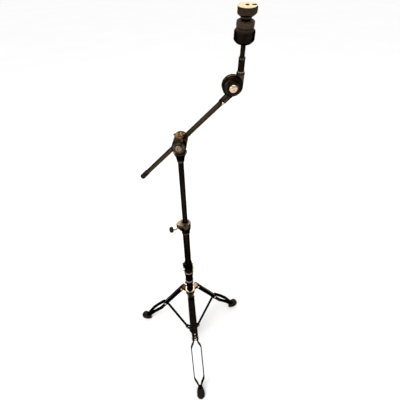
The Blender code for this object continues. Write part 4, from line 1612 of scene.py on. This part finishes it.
# ---- Top nut --------------------------------------------------------------------
# The quick-release nut: a plated six-sided head with rounded corners on a short
# neck. The rod's end shows in its top, and the release button fills a side notch.

NUT_LEVELS = (
    (144.0, 15.0),
    (146.0, 17.6),
    (149.0, 20.4),
    (150.2, 20.9),
    (158.0, 21.0),
    (159.4, 20.6),
    (160.5, 19.7),
    (161.0, 18.7),
)
neck = spun(
    "top nut",
    [
        (0.0, 135.3),
        (9.4, 135.3),
        (10.0, 135.9),
        (11.0, 137.4),
        (11.4, 140.0),
        (12.2, 143.0),
        (13.0, 146.0),
        (0.0, 146.0),
    ],
)
head = grown("nut head", 96, 1.0, 0.0, [(level, size, 0.0) for level, size in NUT_LEVELS])
for count in range(6):
    flat = block("flat", (19.55, -30, 130), (40, 30, 170))
    settle(flat, turned("Z", 60.0 * count))
    cut_from(head, flat)
join_to(neck, head)
cut_from(neck, round_bar("rod hole", 4.35, 130.0, 170.0))
cut_from(neck, block("button slot", (9.0, -4.2, 153.0), (40, 4.2, 170.0)))
soften(neck, 0.9, 3, 25.0)
settle(neck, on_rod)
nut_plating = bright_plating(
    "nut plating", (0.040, 0.028, 0.018), (0.016, 0.011, 0.008), (0.66, 0.62, 0.56), on_rod
)
fit(neck, nut_plating, "top_nut", "plated_plastic", "top_nut")
button = block("release button", (9.5, -3.8, 153.4), (19.3, 3.8, 159.6))
soften(button, 0.9, 3)
settle(button, on_rod)
fit(button, bright, "top_nut", "bright_chrome")

# ---- Floor, light and camera ----------------------------------------------------
# A plain pale floor and surround under soft daylight, with one broad light overhead
# and a weaker one from the left. Two warm glows show only as reflections.

put_all_down()
bpy.ops.mesh.primitive_plane_add(size=60.0)
floor = bpy.context.object
floor.name = "floor"
floor_finish = Finish("pale floor", roughness=0.9, specular_ior_level=0.1)
shade = floor_finish.noise(floor_finish.place(), 1.4, 2.0)
floor.data.materials.append(
    floor_finish.set(base_color=floor_finish.blend(shade, (0.90, 0.90, 0.90), (0.94, 0.94, 0.94)))
)

bpy.context.scene.view_settings.view_transform = "Standard"
world = bpy.data.worlds.new("pale surround")
world.use_nodes = True
world.node_tree.nodes["Background"].inputs["Color"].default_value = (1.0, 1.0, 1.0, 1.0)
world.node_tree.nodes["Background"].inputs["Strength"].default_value = 0.72
bpy.context.scene.world = world


def soft_light(name, place, aim, size, glow, colour, for_plating=False):
    """A square panel of even brightness; one for the plating shows only in reflections."""
    lamp = bpy.data.lights.new(name, "AREA")
    lamp.size = size
    lamp.energy = glow * math.pi * size * size
    lamp.color = colour
    holder = bpy.data.objects.new(name, lamp)
    bpy.context.scene.collection.objects.link(holder)
    holder.location = place
    holder.rotation_euler = (Vector(aim) - Vector(place)).to_track_quat("-Z", "Y").to_euler()
    holder.visible_camera = False
    holder.visible_diffuse = not for_plating
    return holder


WARM = (1.0, 0.92, 0.80)
soft_light("overhead", (0.5, -0.3, 3.4), (0, 0, 0.4), 1.8, 2.5, (1.0, 0.98, 0.95))
soft_light("glow above", (0.1, 1.8, 3.6), (0, 0, 0.6), 3.0, 9.0, WARM, True)
soft_light("glow behind", (0.1, 3.4, 2.1), (0, 0, 1.2), 3.0, 6.5, WARM, True)
soft_light("left fill", (-2.2, -1.4, 1.8), (0, 0, 0.7), 1.2, 3.0, (1.0, 0.97, 0.93))

day = bpy.data.lights.new("soft day", "SUN")
day.energy = 1.25
day.angle = math.radians(30.0)
sky = bpy.data.objects.new("soft day", day)
bpy.context.scene.collection.objects.link(sky)
sky.rotation_euler = Vector((0.45, 0.35, -1.0)).to_track_quat("-Z", "Y").to_euler()
sky.visible_glossy = False

eye = bpy.data.cameras.new("camera")
eye.lens = 27.0
eye.sensor_width = 36.0
eye.clip_start = 0.01
camera = bpy.data.objects.new("camera", eye)
bpy.context.scene.collection.objects.link(camera)
sight = Vector((0.0926, 0.7625, -0.6404)).normalized()
right = Vector((0.9902, -0.1383, -0.0215))
upward = right.cross(sight).normalized()
right = sight.cross(upward)
camera.matrix_world = Matrix.Translation(pole_foot + Vector((-0.0343, -0.6889, 1.4000))) @ Matrix(
    (right, upward, -sight)
).transposed().to_4x4()
bpy.context.scene.camera = camera
